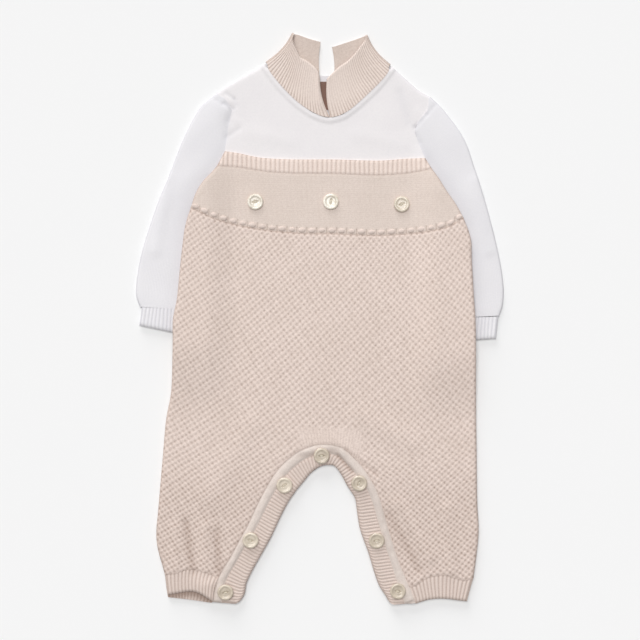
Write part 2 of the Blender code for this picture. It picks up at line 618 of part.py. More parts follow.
def button_mesh():
    """A round button with a raised rim, a dished middle and two sewing holes."""
    points = [(0, 0, BUTTON_PROFILE[0][1])]
    faces = []
    for radius, height in BUTTON_PROFILE[1:]:
        for side in range(BUTTON_SIDES):
            turn = 2 * math.pi * side / BUTTON_SIDES
            points.append((radius * math.cos(turn), radius * math.sin(turn), height))
    for side in range(BUTTON_SIDES):
        after = (side + 1) % BUTTON_SIDES
        faces.append((0, 1 + side, 1 + after))
        for ring in range(len(BUTTON_PROFILE) - 2):
            start = 1 + ring * BUTTON_SIDES
            faces.append((start + side, start + BUTTON_SIDES + side, start + BUTTON_SIDES + after,
                          start + after))
    last = 1 + (len(BUTTON_PROFILE) - 2) * BUTTON_SIDES
    faces.append(tuple(last + side for side in reversed(range(BUTTON_SIDES))))
    blank = make_object("button_blank", points, faces, "pearl")
    for place in (-BUTTON_HOLE_PLACE, BUTTON_HOLE_PLACE):
        cutter_mesh = bpy.data.meshes.new("hole")
        shape = bmesh.new()
        bmesh.ops.create_cone(shape, cap_ends=True, segments=BUTTON_HOLE_SIDES,
                              radius1=BUTTON_HOLE_RADIUS * MM, radius2=BUTTON_HOLE_RADIUS * MM,
                              depth=BUTTON_HOLE_DEPTH * MM)
        bmesh.ops.translate(shape, verts=shape.verts, vec=(place * MM, 0, 0))
        shape.to_mesh(cutter_mesh)
        shape.free()
        cutter = bpy.data.objects.new("hole_cutter", cutter_mesh)
        cutter.hide_render = True
        cutter.display_type = "WIRE"
        bpy.context.collection.objects.link(cutter)
        cut = blank.modifiers.new("hole", "BOOLEAN")
        cut.operation = "DIFFERENCE"
        cut.object = cutter
    evaluated = blank.evaluated_get(bpy.context.evaluated_depsgraph_get())
    mesh = bpy.data.meshes.new_from_object(evaluated)
    mesh.name = "button"
    for leftover in [item for item in bpy.data.objects if item.name.startswith(("button_blank", "hole_"))]:
        bpy.data.objects.remove(leftover)
    return mesh


def top_under(x, y):
    """The highest point of the cloth under a button, in millimetres."""
    highest = 0.0
    for item in bpy.data.objects:
        if item.type != "MESH" or item.name.startswith("button"):
            continue
        for angle in range(0, 360, PROBE_TURN):
            for radius in (0.0, BUTTON_RADIUS / 2, BUTTON_RADIUS):
                start = Vector((x + radius * math.cos(math.radians(angle)),
                                y + radius * math.sin(math.radians(angle)), PROBE_HEIGHT)) * MM
                hit, place, _, _ = item.ray_cast(start, Vector((0, 0, -1)))
                if hit:
                    highest = max(highest, place.z / MM)
    return highest


def build_buttons():
    """Three buttons on the front band and seven down the inseam, each lying on the cloth below it."""
    mesh = button_mesh()
    bpy.context.view_layer.update()
    for name, x, y in BUTTONS:
        height = top_under(x, y) + SEAM_GAP
        button = bpy.data.objects.new(name, mesh)
        button.location = Vector((x, y, height)) * MM
        bpy.context.collection.objects.link(button)


def centre_on_origin():
    """Move everything so that the middle of its outline stands on the origin."""
    bpy.context.view_layer.update()
    corners = [item.matrix_world @ vertex.co for item in bpy.data.objects for vertex in item.data.vertices]
    shift_x = (min(c.x for c in corners) + max(c.x for c in corners)) / 2
    shift_y = (min(c.y for c in corners) + max(c.y for c in corners)) / 2
    for item in bpy.data.objects:
        item.location.x -= shift_x
        item.location.y -= shift_y


def main():
    for item in list(bpy.data.objects):
        bpy.data.objects.remove(item)
    build_yokes()
    build_lower()
    build_inseam()
    build_sleeves()
    build_collars()
    build_label()
    build_buttons()
    centre_on_origin()


if __name__ == "__main__":
    main()
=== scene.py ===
"""Looks of the baby romper laid flat: knitted cloth over each of its solids, pearl buttons, floor and light.

Plan coordinates are millimetres, with x across the garment, y towards the collar and z up from the floor.
Their origin is where the camera looks. Outlines come from the frame's nodes. Knit coordinates, kept on each
mesh as a UV map, are millimetres across and along the stitches.
"""

import math

import bpy
import numpy as np
from mathutils import Matrix, Vector
from mathutils.geometry import delaunay_2d_cdt


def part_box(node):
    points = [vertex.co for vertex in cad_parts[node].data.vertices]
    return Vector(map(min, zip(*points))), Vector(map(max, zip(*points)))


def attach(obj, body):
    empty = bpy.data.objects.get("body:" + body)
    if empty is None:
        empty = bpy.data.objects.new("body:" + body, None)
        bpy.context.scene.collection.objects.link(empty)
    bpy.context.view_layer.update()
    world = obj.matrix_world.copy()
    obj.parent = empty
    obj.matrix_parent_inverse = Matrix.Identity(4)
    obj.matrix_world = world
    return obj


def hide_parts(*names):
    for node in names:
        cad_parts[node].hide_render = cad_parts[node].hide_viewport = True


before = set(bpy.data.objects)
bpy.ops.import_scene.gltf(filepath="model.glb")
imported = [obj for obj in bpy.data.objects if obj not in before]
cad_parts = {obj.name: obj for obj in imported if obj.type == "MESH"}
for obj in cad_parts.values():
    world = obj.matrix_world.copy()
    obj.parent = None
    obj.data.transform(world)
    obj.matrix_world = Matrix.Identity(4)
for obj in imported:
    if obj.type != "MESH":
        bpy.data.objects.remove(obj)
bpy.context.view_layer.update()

MM = 0.001
LABEL_CENTRE = (5.0, 191.0)

# Reading outlines from the nodes
UPWARD = 0.3
MERGE_DIGITS = 3
CORNER_REACH = 3.0
CORNER_APART = 6.0
PANEL_CORNER = 42.0
SEAM_REACH = 1.3
END_REACH = 2.5
SEAM_GROWTH = 0.18
FOLDED_GROWTH = 0.8
FREE_GROWTH = 0.45

# Cloth: how it is layered and how its edges round
LAYER_GAP = 0.4
RIM_RADIUS = 3.2
RIM_SHARE = 0.8
SEAM_RADIUS = 1.6
SEAM_DIP = 1.0
# Painted shade along free edges and in creases, and on the faces that don't show
RIM_SHADE = 0.35
CREASE_SHADE = 0.4
HIDDEN_PAINTED_SHADE = 0.33
EDGE_STEP = 1.0
LATTICE_MARGIN = 0.4
PLAN_PRECISION = 1e-5
FAR = 99.0
EDGE_RELIEF = 0.35
EDGE_FADE = 2.0
FOLD_FACET = 0.87
FOLD_STEP = 0.8
SHARP_ANGLE = 65.0

# Faces that don't show: the step of a panel's, and how many of the shown face's steps are one of a grid's
HIDDEN_STEP = 5
HIDDEN_EVERY = 3

# Tucked sleeves under the body's side margins. Columns: side, x of the inner edge, y of top and bottom
TUCKS = ((-1, -98, 112, -17), (1, 102, 108, -24))
TUCK_HEIGHT = 5.0
TUCK_SLOPE_ACROSS = 28.0
TUCK_SLOPE_DOWN = 64.0

# Soft folds and creases of the front. Columns: start x, y, end x, y, half width, height
CREASES = (
    (-94, 191, -82, 184, 2.4, -0.35), (-82, 184, -74, 180, 2.0, -0.6), (-80, 193, -73, 188, 2.2, -0.4),
    (-73, 188, -71, 182, 2.2, -0.4), (-74, 178, -78, 170, 4.0, -0.3), (-78, 170, -80, 154, 5.0, -0.3),
    (-79, 156, -69, 163, 3.0, -0.35), (-80, 189, -76, 186, 2.4, 0.3), (-74, 171, -69, 169, 4.0, 0.2),
    (99, 184, 91, 175, 2.0, -0.4), (91, 175, 81, 164, 2.2, -0.6), (80, 164, 85, 151, 3.0, -0.3),
    (68, 193, 76, 168, 6.0, -0.35), (83, 178, 88, 172, 4.0, 0.2), (85, 151, 94, 134, 4.0, -0.2),
    (-60, 160, -25, 152, 10, 0.3), (30, 158, 70, 150, 10, 0.3),
    (-114, -172, -108, -214, 5.0, -0.6), (-88, -180, -86, -214, 5.0, -0.6), (-98, -176, -97, -214, 6, 0.9),
    (-123, -176, -122, -212, 5, 0.6), (66, -156, 94, -202, 7, 0.8), (58, -165, 84, -212, 6, -0.5),
    (108, -160, 112, -212, 8, 0.8), (-60, -90, -92, -150, 16, 0.8), (34, -82, 80, -104, 14, 0.8),
    (-130, 120, -140, 60, 8, 0.8), (133, 118, 144, 60, 8, 0.8),
    (15, -115, 27, -129, 2.4, -1.0), (22, -110, 48, -131, 2.6, -0.5), (-17, -116, 14, -111, 4.0, -0.6),
)

# Honeycomb stitch on the body
CELL_ACROSS = 5.55
CELL_ALONG = 5.7
CELL_DEPTH = 0.6
PIT_SHARPNESS = 2.0
UNEVEN = 0.32
UNEVEN_ACROSS = 17.0
UNEVEN_ALONG = 21.0
LEG_TOP = -112.0
LEG_BLEND = 45.0
LEG_MIDDLE = 80.0
LEG_FINER = 0.15
COURSE_MIDDLE = 18.0
COURSE_DIP = 0.0022
WALE_MIDDLE = 55.0
WALE_TILT = 0.00093
WALE_LEVEL = -80.0

# Painted shade of the honeycomb: in its pits, unevenly and deeper down the legs, darker towards the bottom
# and down the legs, and in the sunk groove under the bib's hem
PIT_SHADE = 0.5
PIT_UNEVEN = 0.35
PIT_WAVES = 9.0
LOW_TOP = 60.0
LOW_BLEND = 160.0
LOW_SHADE = 0.06
LEG_SHADE = 0.05
LEG_PIT_SHADE = 0.3
HEM_GROOVE = 0.8
HEM_GROOVE_DEPTH = 0.55

# Fan of ribs in the body, above the crotch
CROTCH_RIB_TOP = -88.0
CROTCH_RIB_MIDDLE = 9.0
CROTCH_RIB_HALF = 32.0
CROTCH_BLEND_DOWN = 9.0
CROTCH_BLEND_ACROSS = 12.0
CROTCH_FAN_CENTRE = -190.0
CROTCH_RIB_PITCH = 2.8
CROTCH_RIB_FLOOR = 0.6

# Ribs: the chest's, and pitch, depth and painted shade in the grooves of the other plain ones
RIB_SHARPNESS = 2.2
RIB_UNEVEN = 0.3
RIB_WAVES = 23.0
CHEST_PITCH = 4.0
CHEST_DEPTH = 0.5
CHEST_SHADE = 0.36
ANKLE_RIBS = (3.1, 0.5, 0.5)
SLEEVE_CUFF_RIBS = (3.1, 0.4, 0.4)
INSEAM_RIBS = (2.8, 0.45, 0.45)
INSEAM_BACK_RIBS = (2.8, 0.5, 0.5)
INSIDE_RELIEF = 0.8

# Stocking stitch of the bib
STITCH_ACROSS = 2.1
STITCH_ALONG = 1.6
STITCH_DEPTH = 0.2
# Painted shade between the strands
STITCH_SHADE = 0.3
BIB_LEAN = 0.02
BIB_BOW = 0.0002

# Slow unevenness of the plain cloths: height, and size from crest to crest
YOKE_WAVES = (0.15, 38.0)
SLEEVE_WAVES = (0.12, 30.0)
PUFF_WAVES = (0.2, 44.0)
ROLL_WAVES = (0.22, 13.0)
ROLL_HEIGHT = 1.1

# Neckline, sleeves and collar
# Painted shadow on the white cloth beside the body's raised edge, and painted shade round the folds' outer
# edges
BESIDE_SHADE = 0.3
BESIDE_REACH = 9.0
FOLD_SHADE = 0.6
NECK_ROLL_WIDTH = 4.4
NECK_ROLL_MIDDLE = 1.6
NECK_ROLL_HEIGHT = 0.8
NECK_ENDS = ((61.0, 216.0), (-47.0, 218.0))
SLEEVE_PUFF = 0.9
COLLAR_RISE = 1.6
COLLAR_RIM = 1.4
COLLAR_PITCH = 2.2
COLLAR_WAVES = 19.0
COLLAR_FAINT = 0.3
COLLAR_RIB_DEPTH = 0.3
COLLAR_RIB_SHADE = 0.5
CURL_MIDDLE = 3.4
CURL_HALF = 1.8

# Mouth of the left ankle: top of its arch, reach and height. Rounding of the inseam strips' free corners
MOUTH_TOP = (-95.0, -226.0)
MOUTH_REACH = 12.0
MOUTH_LIFT = 2.6
# Painted shade inside the mouth, and how far it reaches
MOUTH_SHADE = 0.8
MOUTH_SHADE_REACH = 5.0
STRIP_ROUNDING = 5.0
STRIP_LEAST = 10.0

# How much shorter the inseam's strips are than their nodes at the right ankle: at the free and the other edge
BAND_TRIM = (3.4, 0.2)
ROLL_TRIM = (0.2, -1.8)

# Laid and folded pieces. Corners: bottom and top ends of the front's free edge, of the fold and of the back's
# free edge. A collar's number is its front edge's curl
SLEEVES_LAID = (
    ("sleeve_left", ((-105, 9), (-75, 178), (-153.5, 11.5), (-88, 193), (-105, 9), (-75, 178))),
    ("sleeve_right", ((106, 2), (81, 162), (153, 4), (94, 190), (106, 2), (81, 162))),
)
CUFFS_LAID = (
    ("sleeve_cuff_left",
     ((-107.5, -14.5), (-107.5, 8), (-153.7, -4.7), (-151.5, 10.3), (-107.5, -14.5), (-107.5, 8))),
    ("sleeve_cuff_right",
     ((105, -19), (106, 0.8), (149.5, -16), (151.5, 1.8), (105, -19), (106, 0.8))),
)
COLLARS_LAID = (
    ("collar_left", 1.0, ((7.7, 173.1), (-0.5, 208), (-45.5, 220), (-23.4, 244.4), (-1, 208.9), (0, 237))),
    ("collar_right", 0.2, ((9, 173.1), (6, 205.5), (59.3, 218), (40, 242.8), (12.5, 208.6), (10.7, 232.5))),
)

# Pieces of cloth. Columns: node, cotton, steps across and along the face that shows, how far its seams sink
# and how much painted shade they get
CLOTHS = (
    ("yoke_back", "white_yoke_jersey", 2.0, 2.0, 0.3),
    ("bib_back", "beige_plain_knit", 1.05, 1.06, 0.3),
    ("chest_rib_back", "beige_chest_rib", 0.67, 1.0, 0.3),
    ("body_back", "beige_honeycomb_knit", CELL_ACROSS / 4, CELL_ALONG / 4, 0.3),
    ("yoke_front", "white_yoke_jersey", 1.2, 1.2, 0.02),
    ("chest_rib_front", "beige_chest_rib", 0.5, 0.7, 0.2),
    ("bib_front", "beige_plain_knit", STITCH_ACROSS / 4, STITCH_ALONG / 3, 0.15),
    ("body_front", "beige_honeycomb_knit", CELL_ACROSS / 6, CELL_ALONG / 6, 0.08),
    ("ankle_cuff_left_back", "beige_edge_rib", 0.5, 1.0, 0.3),
    ("ankle_cuff_left_front", "beige_edge_rib", 0.4, 0.8, 0.1),
    ("ankle_cuff_right_back", "beige_edge_rib", 0.5, 1.0, 0.3),
    ("ankle_cuff_right_front", "beige_edge_rib", 0.4, 0.8, 0.1),
    ("inseam_band_back", "beige_edge_rib", 0.6, 1.0, 0.3),
    ("inseam_band_front", "beige_edge_rib", 0.45, 0.7, 0.1),
    ("inseam_roll", "beige_rolled_knit", 0.8, 0.5, 0.03),
    ("sleeve_left", "white_sleeve_jersey", 1.5, 1.5, 0.02),
    ("sleeve_right", "white_sleeve_jersey", 1.5, 1.5, 0.02),
    ("sleeve_cuff_left", "white_rib_knit", 0.4, 1.0, 0.02),
    ("sleeve_cuff_right", "white_rib_knit", 0.4, 1.0, 0.02),
    ("collar_left", "beige_fine_rib", 0.35, 0.9, 0.05),
    ("collar_right", "beige_fine_rib", 0.35, 0.9, 0.05),
)
CLOTH_OF = {node: row for node, *row in CLOTHS}

# Which pieces lie on another than the floor, or than their own back
UNDER = {"inseam_roll": "inseam_band_back", "collar_left": "yoke_back", "collar_right": "yoke_back",
         "neck_label": "yoke_back"}

# Bobbles along the seam between bib and body
BIB_HEM_ENDS = ((-109.5, 95.5), (121.5, 87))
BOBBLE_PITCH = 8.6
BOBBLE_LENGTH = 6.0
BOBBLE_WIDTH = 4.2
BOBBLE_HEIGHT = 2.2
BOBBLE_BASE = 4.9
BOBBLE_LEAN = 0.1
BOBBLE_ABOVE = 2.6
BOBBLE_RINGS = 9
BOBBLE_SIDES = 14
BOBBLE_END = 0.12
BOBBLE_UNEVEN = 0.08
# Short upright slits between the bobbles: low and high ends, half width, depth and painted shade
SLIT_LOW = 0.4
SLIT_HIGH = 4.6
SLIT_HALF = 0.55
SLIT_DEPTH = 0.3
SLIT_SHADE = 0.4

# Buttons. Face columns: radius, height. Columns: node, turn and tilt in degrees, depth of the eye, finish,
# which is the pearl painted lighter as highlight or darker as shade
BUTTON_RADIUS = 6.75
BUTTON_SIDES = 60
BUTTON_RINGS = 30
BUTTON_LEAST = 0.25
TILT_AXIS = (0.6, 0.8, 0)
BUTTON_FACE = ((0, 1.25), (3.7, 1.3), (4.3, 1.5), (4.9, 1.85), (5.6, 1.9), (6.0, 1.8))
BUTTON_EDGE_RADII = (6.3, 6.6, 6.75, 6.7, 6.3, 5.4, 3.9, 1.1)
BUTTON_EDGE_HEIGHTS = (1.62, 1.4, 1.1, 0.75, 0.35, 0.1, 0.0, 0.0)
EYE_LENGTH = 3.4
EYE_WIDTH = 1.5
EYE_STEEPNESS = 2.2
HOLE_PLACE = 1.5
HOLE_RADIUS = 0.45
HOLE_SLOPE = 0.4
HOLE_DEPTH = 1.0
THREAD_TOP = 1.35
THREAD_FALL = 1.1
THREAD_REACH = 1.65
THREAD_RADIUS = 0.2
THREAD_STATIONS = 13
THREAD_SIDES = 8
THREAD_OFFSETS = (-0.42, 0.0, 0.42)
BUTTONS = (
    ("button_bib_1", 8, 3, 0.5, "pearl"), ("button_bib_2", 80, 1, 0.4, "pearl"),
    ("button_bib_3", 20, 1, 0.3, "pearl_warm"), ("button_crotch", 0, 2, 0.4, "pearl_dull"),
    ("button_left_leg_1", 30, 3, 0.4, "pearl_warm"), ("button_left_leg_2", -20, 2, 0.4, "pearl_warm"),
    ("button_left_leg_3", 15, 1, 0.4, "pearl_dull"), ("button_right_leg_1", 60, 2, 0.4, "pearl_dull"),
    ("button_right_leg_2", 10, 2, 0.4, "pearl_dull"), ("button_right_leg_3", -15, 1, 0.4, "pearl_dull"),
)

# Studio. Suns' columns: name, degrees down from overhead, bearing from the collar, degrees across, strength
FLOOR_SIZE = 6.0
WORLD_LIGHT = 0.25
SUNS = (
    ("window", 74.0, 16.0, 34.0, 1.75),
    ("overhead", 16.0, 20.0, 40.0, 2.0),
)

CAMERA_WIDTH = 544.0
CAMERA_LENS = 85.0
CAMERA_SENSOR = 36.0
CAMERA_FOCUS_HEIGHT = 5.0


def plan_origin():
    """Where the plan's origin stands in the frame, in millimetres, from the label inside the neck."""
    low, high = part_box("neck_label")
    middle = [(a + b) / 2 / MM for a, b in zip(low, high)]
    return np.array([middle[0] - LABEL_CENTRE[0], middle[1] - LABEL_CENTRE[1], 0.0])


ORIGIN = plan_origin()


# ---------------------------------------------------------------- outlines

def upward_loops(node):
    """Outlines of a node's upward faces, highest first, as anticlockwise loops of x, y, z rows in plan."""
    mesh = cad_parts[node].data
    mesh.calc_loop_triangles()
    corners = [tuple(round(value / MM, MERGE_DIGITS) for value in vertex.co) for vertex in mesh.vertices]
    edges = set()
    for triangle in mesh.loop_triangles:
        if triangle.normal.z > UPWARD:
            a, b, c = (corners[i] for i in triangle.vertices)
            edges.update(((a, b), (b, c), (c, a)))
    after = {start: end for start, end in sorted(edges) if (end, start) not in edges}
    loops = []
    while after:
        point = min(after)
        loop = []
        while point in after:
            loop.append(point)
            point = after.pop(point)
        loops.append(np.array(loop) - ORIGIN)
    return sorted(loops, key=lambda loop: -loop[:, 2].mean())


def corner_indices(loop, count=None):
    """The places where a loop turns sharply: its `count` sharpest ones, or all past PANEL_CORNER degrees."""
    flat = loop[:, :2]
    steps = np.linalg.norm(np.roll(flat, -1, axis=0) - flat, axis=1)
    place = np.concatenate([[0], np.cumsum(steps)])
    total = place[-1]
    closed = np.vstack([flat, flat[:1]])

    def at(distance):
        around = np.mod(distance, total)
        return np.stack([np.interp(around, place, closed[:, axis]) for axis in (0, 1)], axis=1)

    before = flat - at(place[:-1] - CORNER_REACH)
    ahead = at(place[:-1] + CORNER_REACH) - flat
    cosine = (before * ahead).sum(axis=1) / (np.linalg.norm(before, axis=1) * np.linalg.norm(ahead, axis=1))
    turn = np.degrees(np.arccos(np.clip(cosine, -1, 1)))
    found = []
    for i in np.argsort(-turn, kind="stable"):
        apart = [abs(place[i] - place[j]) for j in found]
        if all(min(gap, total - gap) > CORNER_APART for gap in apart):
            if len(found) == count or (count is None and turn[i] < PANEL_CORNER):
                break
            found.append(int(i))
    return sorted(found)


def chains(loop, count=None):
    """The loop cut at its corners, starting with the chain that lies highest up the garment."""
    corners = corner_indices(loop, count)
    doubled = np.vstack([loop, loop])
    ends = corners[1:] + [corners[0] + len(loop)]
    parts = [doubled[start:end + 1, :2] for start, end in zip(corners, ends)]
    first = max(range(len(parts)), key=lambda i: parts[i][:, 1].mean())
    return parts[first:] + parts[:first]


def line_length(line):
    return float(np.linalg.norm(np.diff(line, axis=0), axis=1).sum())


def cut_at(loop, places):
    """The loop as open lines from each of some places to the next, whichever way round they run."""
    flat = loop[:, :2]
    at = [int(np.argmin(np.linalg.norm(flat - place, axis=1))) for place in places]
    steps = [(end - start) % len(flat) for start, end in zip(at, at[1:] + at[:1])]
    if sum(steps) != len(flat):
        return cut_at(loop[::-1], places)
    doubled = np.vstack([flat, flat])
    return [doubled[start:start + step + 1] for start, step in zip(at, steps)]


def places_along(line):
    """How far along an open line each of its points is."""
    return np.concatenate([[0], np.cumsum(np.linalg.norm(np.diff(line, axis=0), axis=1))])


def spread(line, shares):
    """Points at some shares of the length of a smooth curve through an open line's points."""
    place = places_along(line)
    slope = np.empty_like(line)
    slope[1:-1] = (line[2:] - line[:-2]) / (place[2:] - place[:-2])[:, None]
    slope[0] = (line[1] - line[0]) / (place[1] - place[0])
    slope[-1] = (line[-1] - line[-2]) / (place[-1] - place[-2])
    target = shares * place[-1]
    i = np.clip(np.searchsorted(place, target, side="right") - 1, 0, len(line) - 2)
    span = (place[i + 1] - place[i])[:, None]
    t = (target - place[i])[:, None] / span
    start = (2 * t ** 3 - 3 * t ** 2 + 1) * line[i] + (t ** 3 - 2 * t ** 2 + t) * span * slope[i]
    end = (3 * t ** 2 - 2 * t ** 3) * line[i + 1] + (t ** 3 - t ** 2) * span * slope[i + 1]
    return start + end


def curve(line, count):
    return spread(line, np.linspace(0, 1, count))


def level_pair(low, high, count):
    """Points along two lines, level with each other where the lines' own points are."""
    shares = [places_along(line) / line_length(line) for line in (low, high)]
    even = np.linspace(0, 1, count)
    if len(low) != len(high):
        return curve(low, count), curve(high, count)
    middle = (shares[0] + shares[1]) / 2
    return tuple(spread(line, np.interp(even, middle, share)) for line, share in zip((low, high), shares))


def aside(line, towards):
    """Unit directions across an open line, on the side where a place is."""
    run = np.gradient(line, axis=0)
    run /= np.linalg.norm(run, axis=1)[:, None]
    across = np.stack([-run[:, 1], run[:, 0]], axis=1)
    return across if (towards - line.mean(axis=0)) @ across.mean(axis=0) > 0 else -across


def moved(line, distance, towards):
    return line + distance * aside(line, towards)


def ending_at(line, start, end):
    """An open line whose ends are moved to two places."""
    middle = [point for point in line[1:-1]
              if min(np.linalg.norm(point - start), np.linalg.norm(point - end)) > END_REACH]
    return np.array([start, *middle, end])


def smooth_loop(loop, step):
    """The loop as smooth curves between its corners, with points about `step` apart."""
    parts = [curve(part, max(2, round(line_length(part) / step)) + 1)[:-1] for part in chains(loop)]
    return np.vstack(parts)


def grown(loop, distance):
    """An anticlockwise loop moved outwards."""
    run = np.roll(loop, -1, axis=0) - np.roll(loop, 1, axis=0)
    run /= np.linalg.norm(run, axis=1)[:, None]
    return loop + distance * np.stack([run[:, 1], -run[:, 0]], axis=1)


def distance_to(points, starts, ends):
    """How far each point is from the nearest of some straight pieces."""
    nearest = np.full(len(points), np.inf)
    for start, end in zip(starts, ends):
        run = end - start
        share = np.clip((points - start) @ run / max(run @ run, 1e-9), 0, 1)
        gap = points - start - share[:, None] * run
        np.minimum(nearest, (gap * gap).sum(axis=1), out=nearest)
    return np.sqrt(nearest)


def inside(points, loop):
    """Whether each point lies inside a closed loop."""
    result = np.zeros(len(points), dtype=bool)
    for (ax, ay), (bx, by) in zip(loop, np.roll(loop, -1, axis=0)):
        if ay != by:
            crosses = (ay > points[:, 1]) != (by > points[:, 1])
            result ^= crosses & (points[:, 0] < ax + (points[:, 1] - ay) * (bx - ax) / (by - ay))
    return result


def area_of(loop):
    x, y = loop[:, 0], loop[:, 1]
    return abs(float(np.sum(x * np.roll(y, -1) - np.roll(x, -1) * y))) / 2


LAYERS = {
    "front": ("yoke_front", "chest_rib_front", "bib_front", "body_front", "ankle_cuff_left_front",
              "ankle_cuff_right_front", "inseam_roll", "inseam_band_front"),
    "back": ("yoke_back", "chest_rib_back", "bib_back", "body_back", "ankle_cuff_left_back",
             "ankle_cuff_right_back", "inseam_band_back"),
}
LOOPS = {node: upward_loops(node)[0] for layer in LAYERS.values() for node in layer}
WRAPPED = ("sleeve_left", "sleeve_right", "collar_left", "collar_right")
WRAPPED_LOOPS = [loop for node in WRAPPED for loop in upward_loops(node)]


class Outline:
    """A flat-laid piece's edge, and which stretches of it are seams to its neighbours in the same layer."""

    def __init__(self, node):
        layer = next(names for names in LAYERS.values() if node in names)
        self.raw = LOOPS[node]
        self.loop = grown(smooth_loop(self.raw, EDGE_STEP), SEAM_GROWTH)
        starts, ends = self.loop, np.roll(self.loop, -1, axis=0)
        middles = (starts + ends) / 2
        seam = np.zeros(len(middles), dtype=bool)
        beside = [LOOPS[other] for other in layer if other != node]
        for loop in beside + (WRAPPED_LOOPS if node.startswith("yoke") else []):
            edge = loop[:, :2]
            seam |= distance_to(middles, edge, np.roll(edge, -1, axis=0)) < SEAM_REACH
        self.free = (starts[~seam], ends[~seam])
        self.seams = (starts[seam], ends[seam])

    def distances(self, points):
        """How far points are from the free edges and from the seams, where they are near enough to matter."""
        free = np.full(len(points), FAR)
        seam = np.full(len(points), FAR)
        edge = self.raw[:, :2]
        near = distance_to(points, edge, np.roll(edge, -1, axis=0)) < 2 * RIM_RADIUS
        if len(self.free[0]):
            free[near] = distance_to(points[near], *self.free)
        if len(self.seams[0]):
            seam[near] = distance_to(points[near], *self.seams)
        return free, seam


# ---------------------------------------------------------------- heights

def eased(share):
    """A smooth step from 0 to 1."""
    share = np.clip(share, 0, 1)
    return share * share * (3 - 2 * share)


def tuck_lift(x, y):
    """How far the cloth is raised where it lies on a tucked sleeve."""
    lift = np.zeros_like(x)
    for side, inner, top, bottom in TUCKS:
        across = eased(1 + side * (x - inner) / TUCK_SLOPE_ACROSS)
        down = eased(1 - (y - top) / TUCK_SLOPE_DOWN) * eased(1 + (y - bottom) / TUCK_SLOPE_DOWN)
        lift += TUCK_HEIGHT * across * down
    return lift


def crease_lift(x, y):
    """Height of the soft folds and creases."""
    points = np.stack([x, y], axis=-1).reshape(-1, 2)
    lift = np.zeros(len(points))
    for ax, ay, bx, by, half_width, height in CREASES:
        away = distance_to(points, [np.array([ax, ay])], [np.array([bx, by])])
        lift += height * np.exp(-2 * (away / half_width) ** 2)
    return lift.reshape(x.shape)


def rim_drop(away, wall, radius=RIM_RADIUS):
    """How far the outer face falls near a free edge, so that the edge is round."""
    share = np.clip(away / radius, 0, 1)
    return RIM_SHARE * wall * (1 - np.sqrt(1 - (1 - share) ** 2))


def seam_dip(away, strength):
    """How far a face sinks at a seam."""
    return SEAM_DIP * strength * (1 - eased(away / SEAM_RADIUS))


def waves(x, y, size):
    """Slow unevenness between -1 and 1 over the plan, about `size` millimetres from crest to crest."""
    a = np.sin(2 * np.pi * (x + 0.43 * y) / size + 1.1) + np.sin(2 * np.pi * (0.62 * x - y) / (1.31 * size))
    b = np.sin(2 * np.pi * (0.91 * x + 0.3 * y) / (0.57 * size) + 2.4)
    return (a + 0.6 * b) / 2.6


# ---------------------------------------------------------------- knit patterns

def course_drop(x):
    """How far the courses hang below level, which is least in the middle of the body."""
    return -0.5 * COURSE_DIP * (x - COURSE_MIDDLE) ** 2


def wale_lean(x):
    return (WALE_MIDDLE - x) * WALE_TILT


def to_knit(x, y):
    """Knit coordinates of the body at a place in plan. The stitches are uneven, and finer down the legs."""
    u = x - (y - WALE_LEVEL) * wale_lean(x) + UNEVEN * waves(x, y, UNEVEN_ACROSS)
    v = y + course_drop(x) + UNEVEN * waves(y, x, UNEVEN_ALONG)
    finer = LEG_FINER * leg_share(y) * (x - np.sign(x) * LEG_MIDDLE)
    return u + finer, v + LEG_FINER * np.minimum(y - LEG_TOP, 0)


def from_knit(u, v):
    """The place in plan of the body's knit coordinates."""
    x, y = u.copy(), v.copy()
    for _ in range(16):
        across, along = to_knit(x, y)
        x += 0.9 * (u - across)
        y += 0.9 * (v - along)
    return x, y


def leg_share(y):
    """How far down the legs a place is, from 0 above them to 1 in them."""
    return eased((LEG_TOP - y) / LEG_BLEND)


def honeycomb(u, v):
    """Height of the honeycomb stitch, from 0 in a pit to 1 on a puff."""
    pit = 0.5 - 0.5 * np.cos(2 * np.pi * u / CELL_ACROSS) * np.cos(2 * np.pi * v / CELL_ALONG)
    return 1 - pit ** PIT_SHARPNESS


def rib(u, pitch):
    """Height of a rib, from 0 in the groove to 1 on the crown."""
    return 1 - (0.5 - 0.5 * np.cos(2 * np.pi * u / pitch)) ** RIB_SHARPNESS


def plain(u, v, wale, course):
    """Height of stocking stitch: two leaning strands in each wale."""
    across = np.abs(np.mod(u / wale, 1) - 0.5) * 2
    strand = 1 - (2 * across - 1) ** 2
    return strand * (0.82 + 0.18 * np.cos(2 * np.pi * (v / course + 0.5 * across)))


# ---------------------------------------------------------------- materials

def linear(red, green, blue):
    """An 8-bit sRGB colour as linear values."""
    shares = [value / 255 for value in (red, green, blue)]
    return tuple(s / 12.92 if s <= 0.04045 else ((s + 0.055) / 1.055) ** 2.4 for s in shares)


class Field:
    """A number worked out in a material's nodes, which can be added, multiplied and so on."""

    def __init__(self, tree, socket):
        self.tree = tree
        self.socket = socket

    def math(self, operation, *others):
        node = self.tree.nodes.new("ShaderNodeMath")
        node.operation = operation
        for place, value in enumerate((self, *others)):
            if isinstance(value, Field):
                self.tree.links.new(value.socket, node.inputs[place])
            else:
                node.inputs[place].default_value = value
        return Field(self.tree, node.outputs[0])

    def __add__(self, other):
        return self.math("ADD", other)

    def __sub__(self, other):
        return self.math("SUBTRACT", other)

    def __mul__(self, other):
        return self.math("MULTIPLY", other)

    def __truediv__(self, other):
        return self.math("DIVIDE", other)

    def __pow__(self, exponent):
        return self.math("POWER", exponent)

    def cosine(self):
        return self.math("COSINE")

    def fraction(self):
        return self.math("FRACT")

    def size(self):
        return self.math("ABSOLUTE")


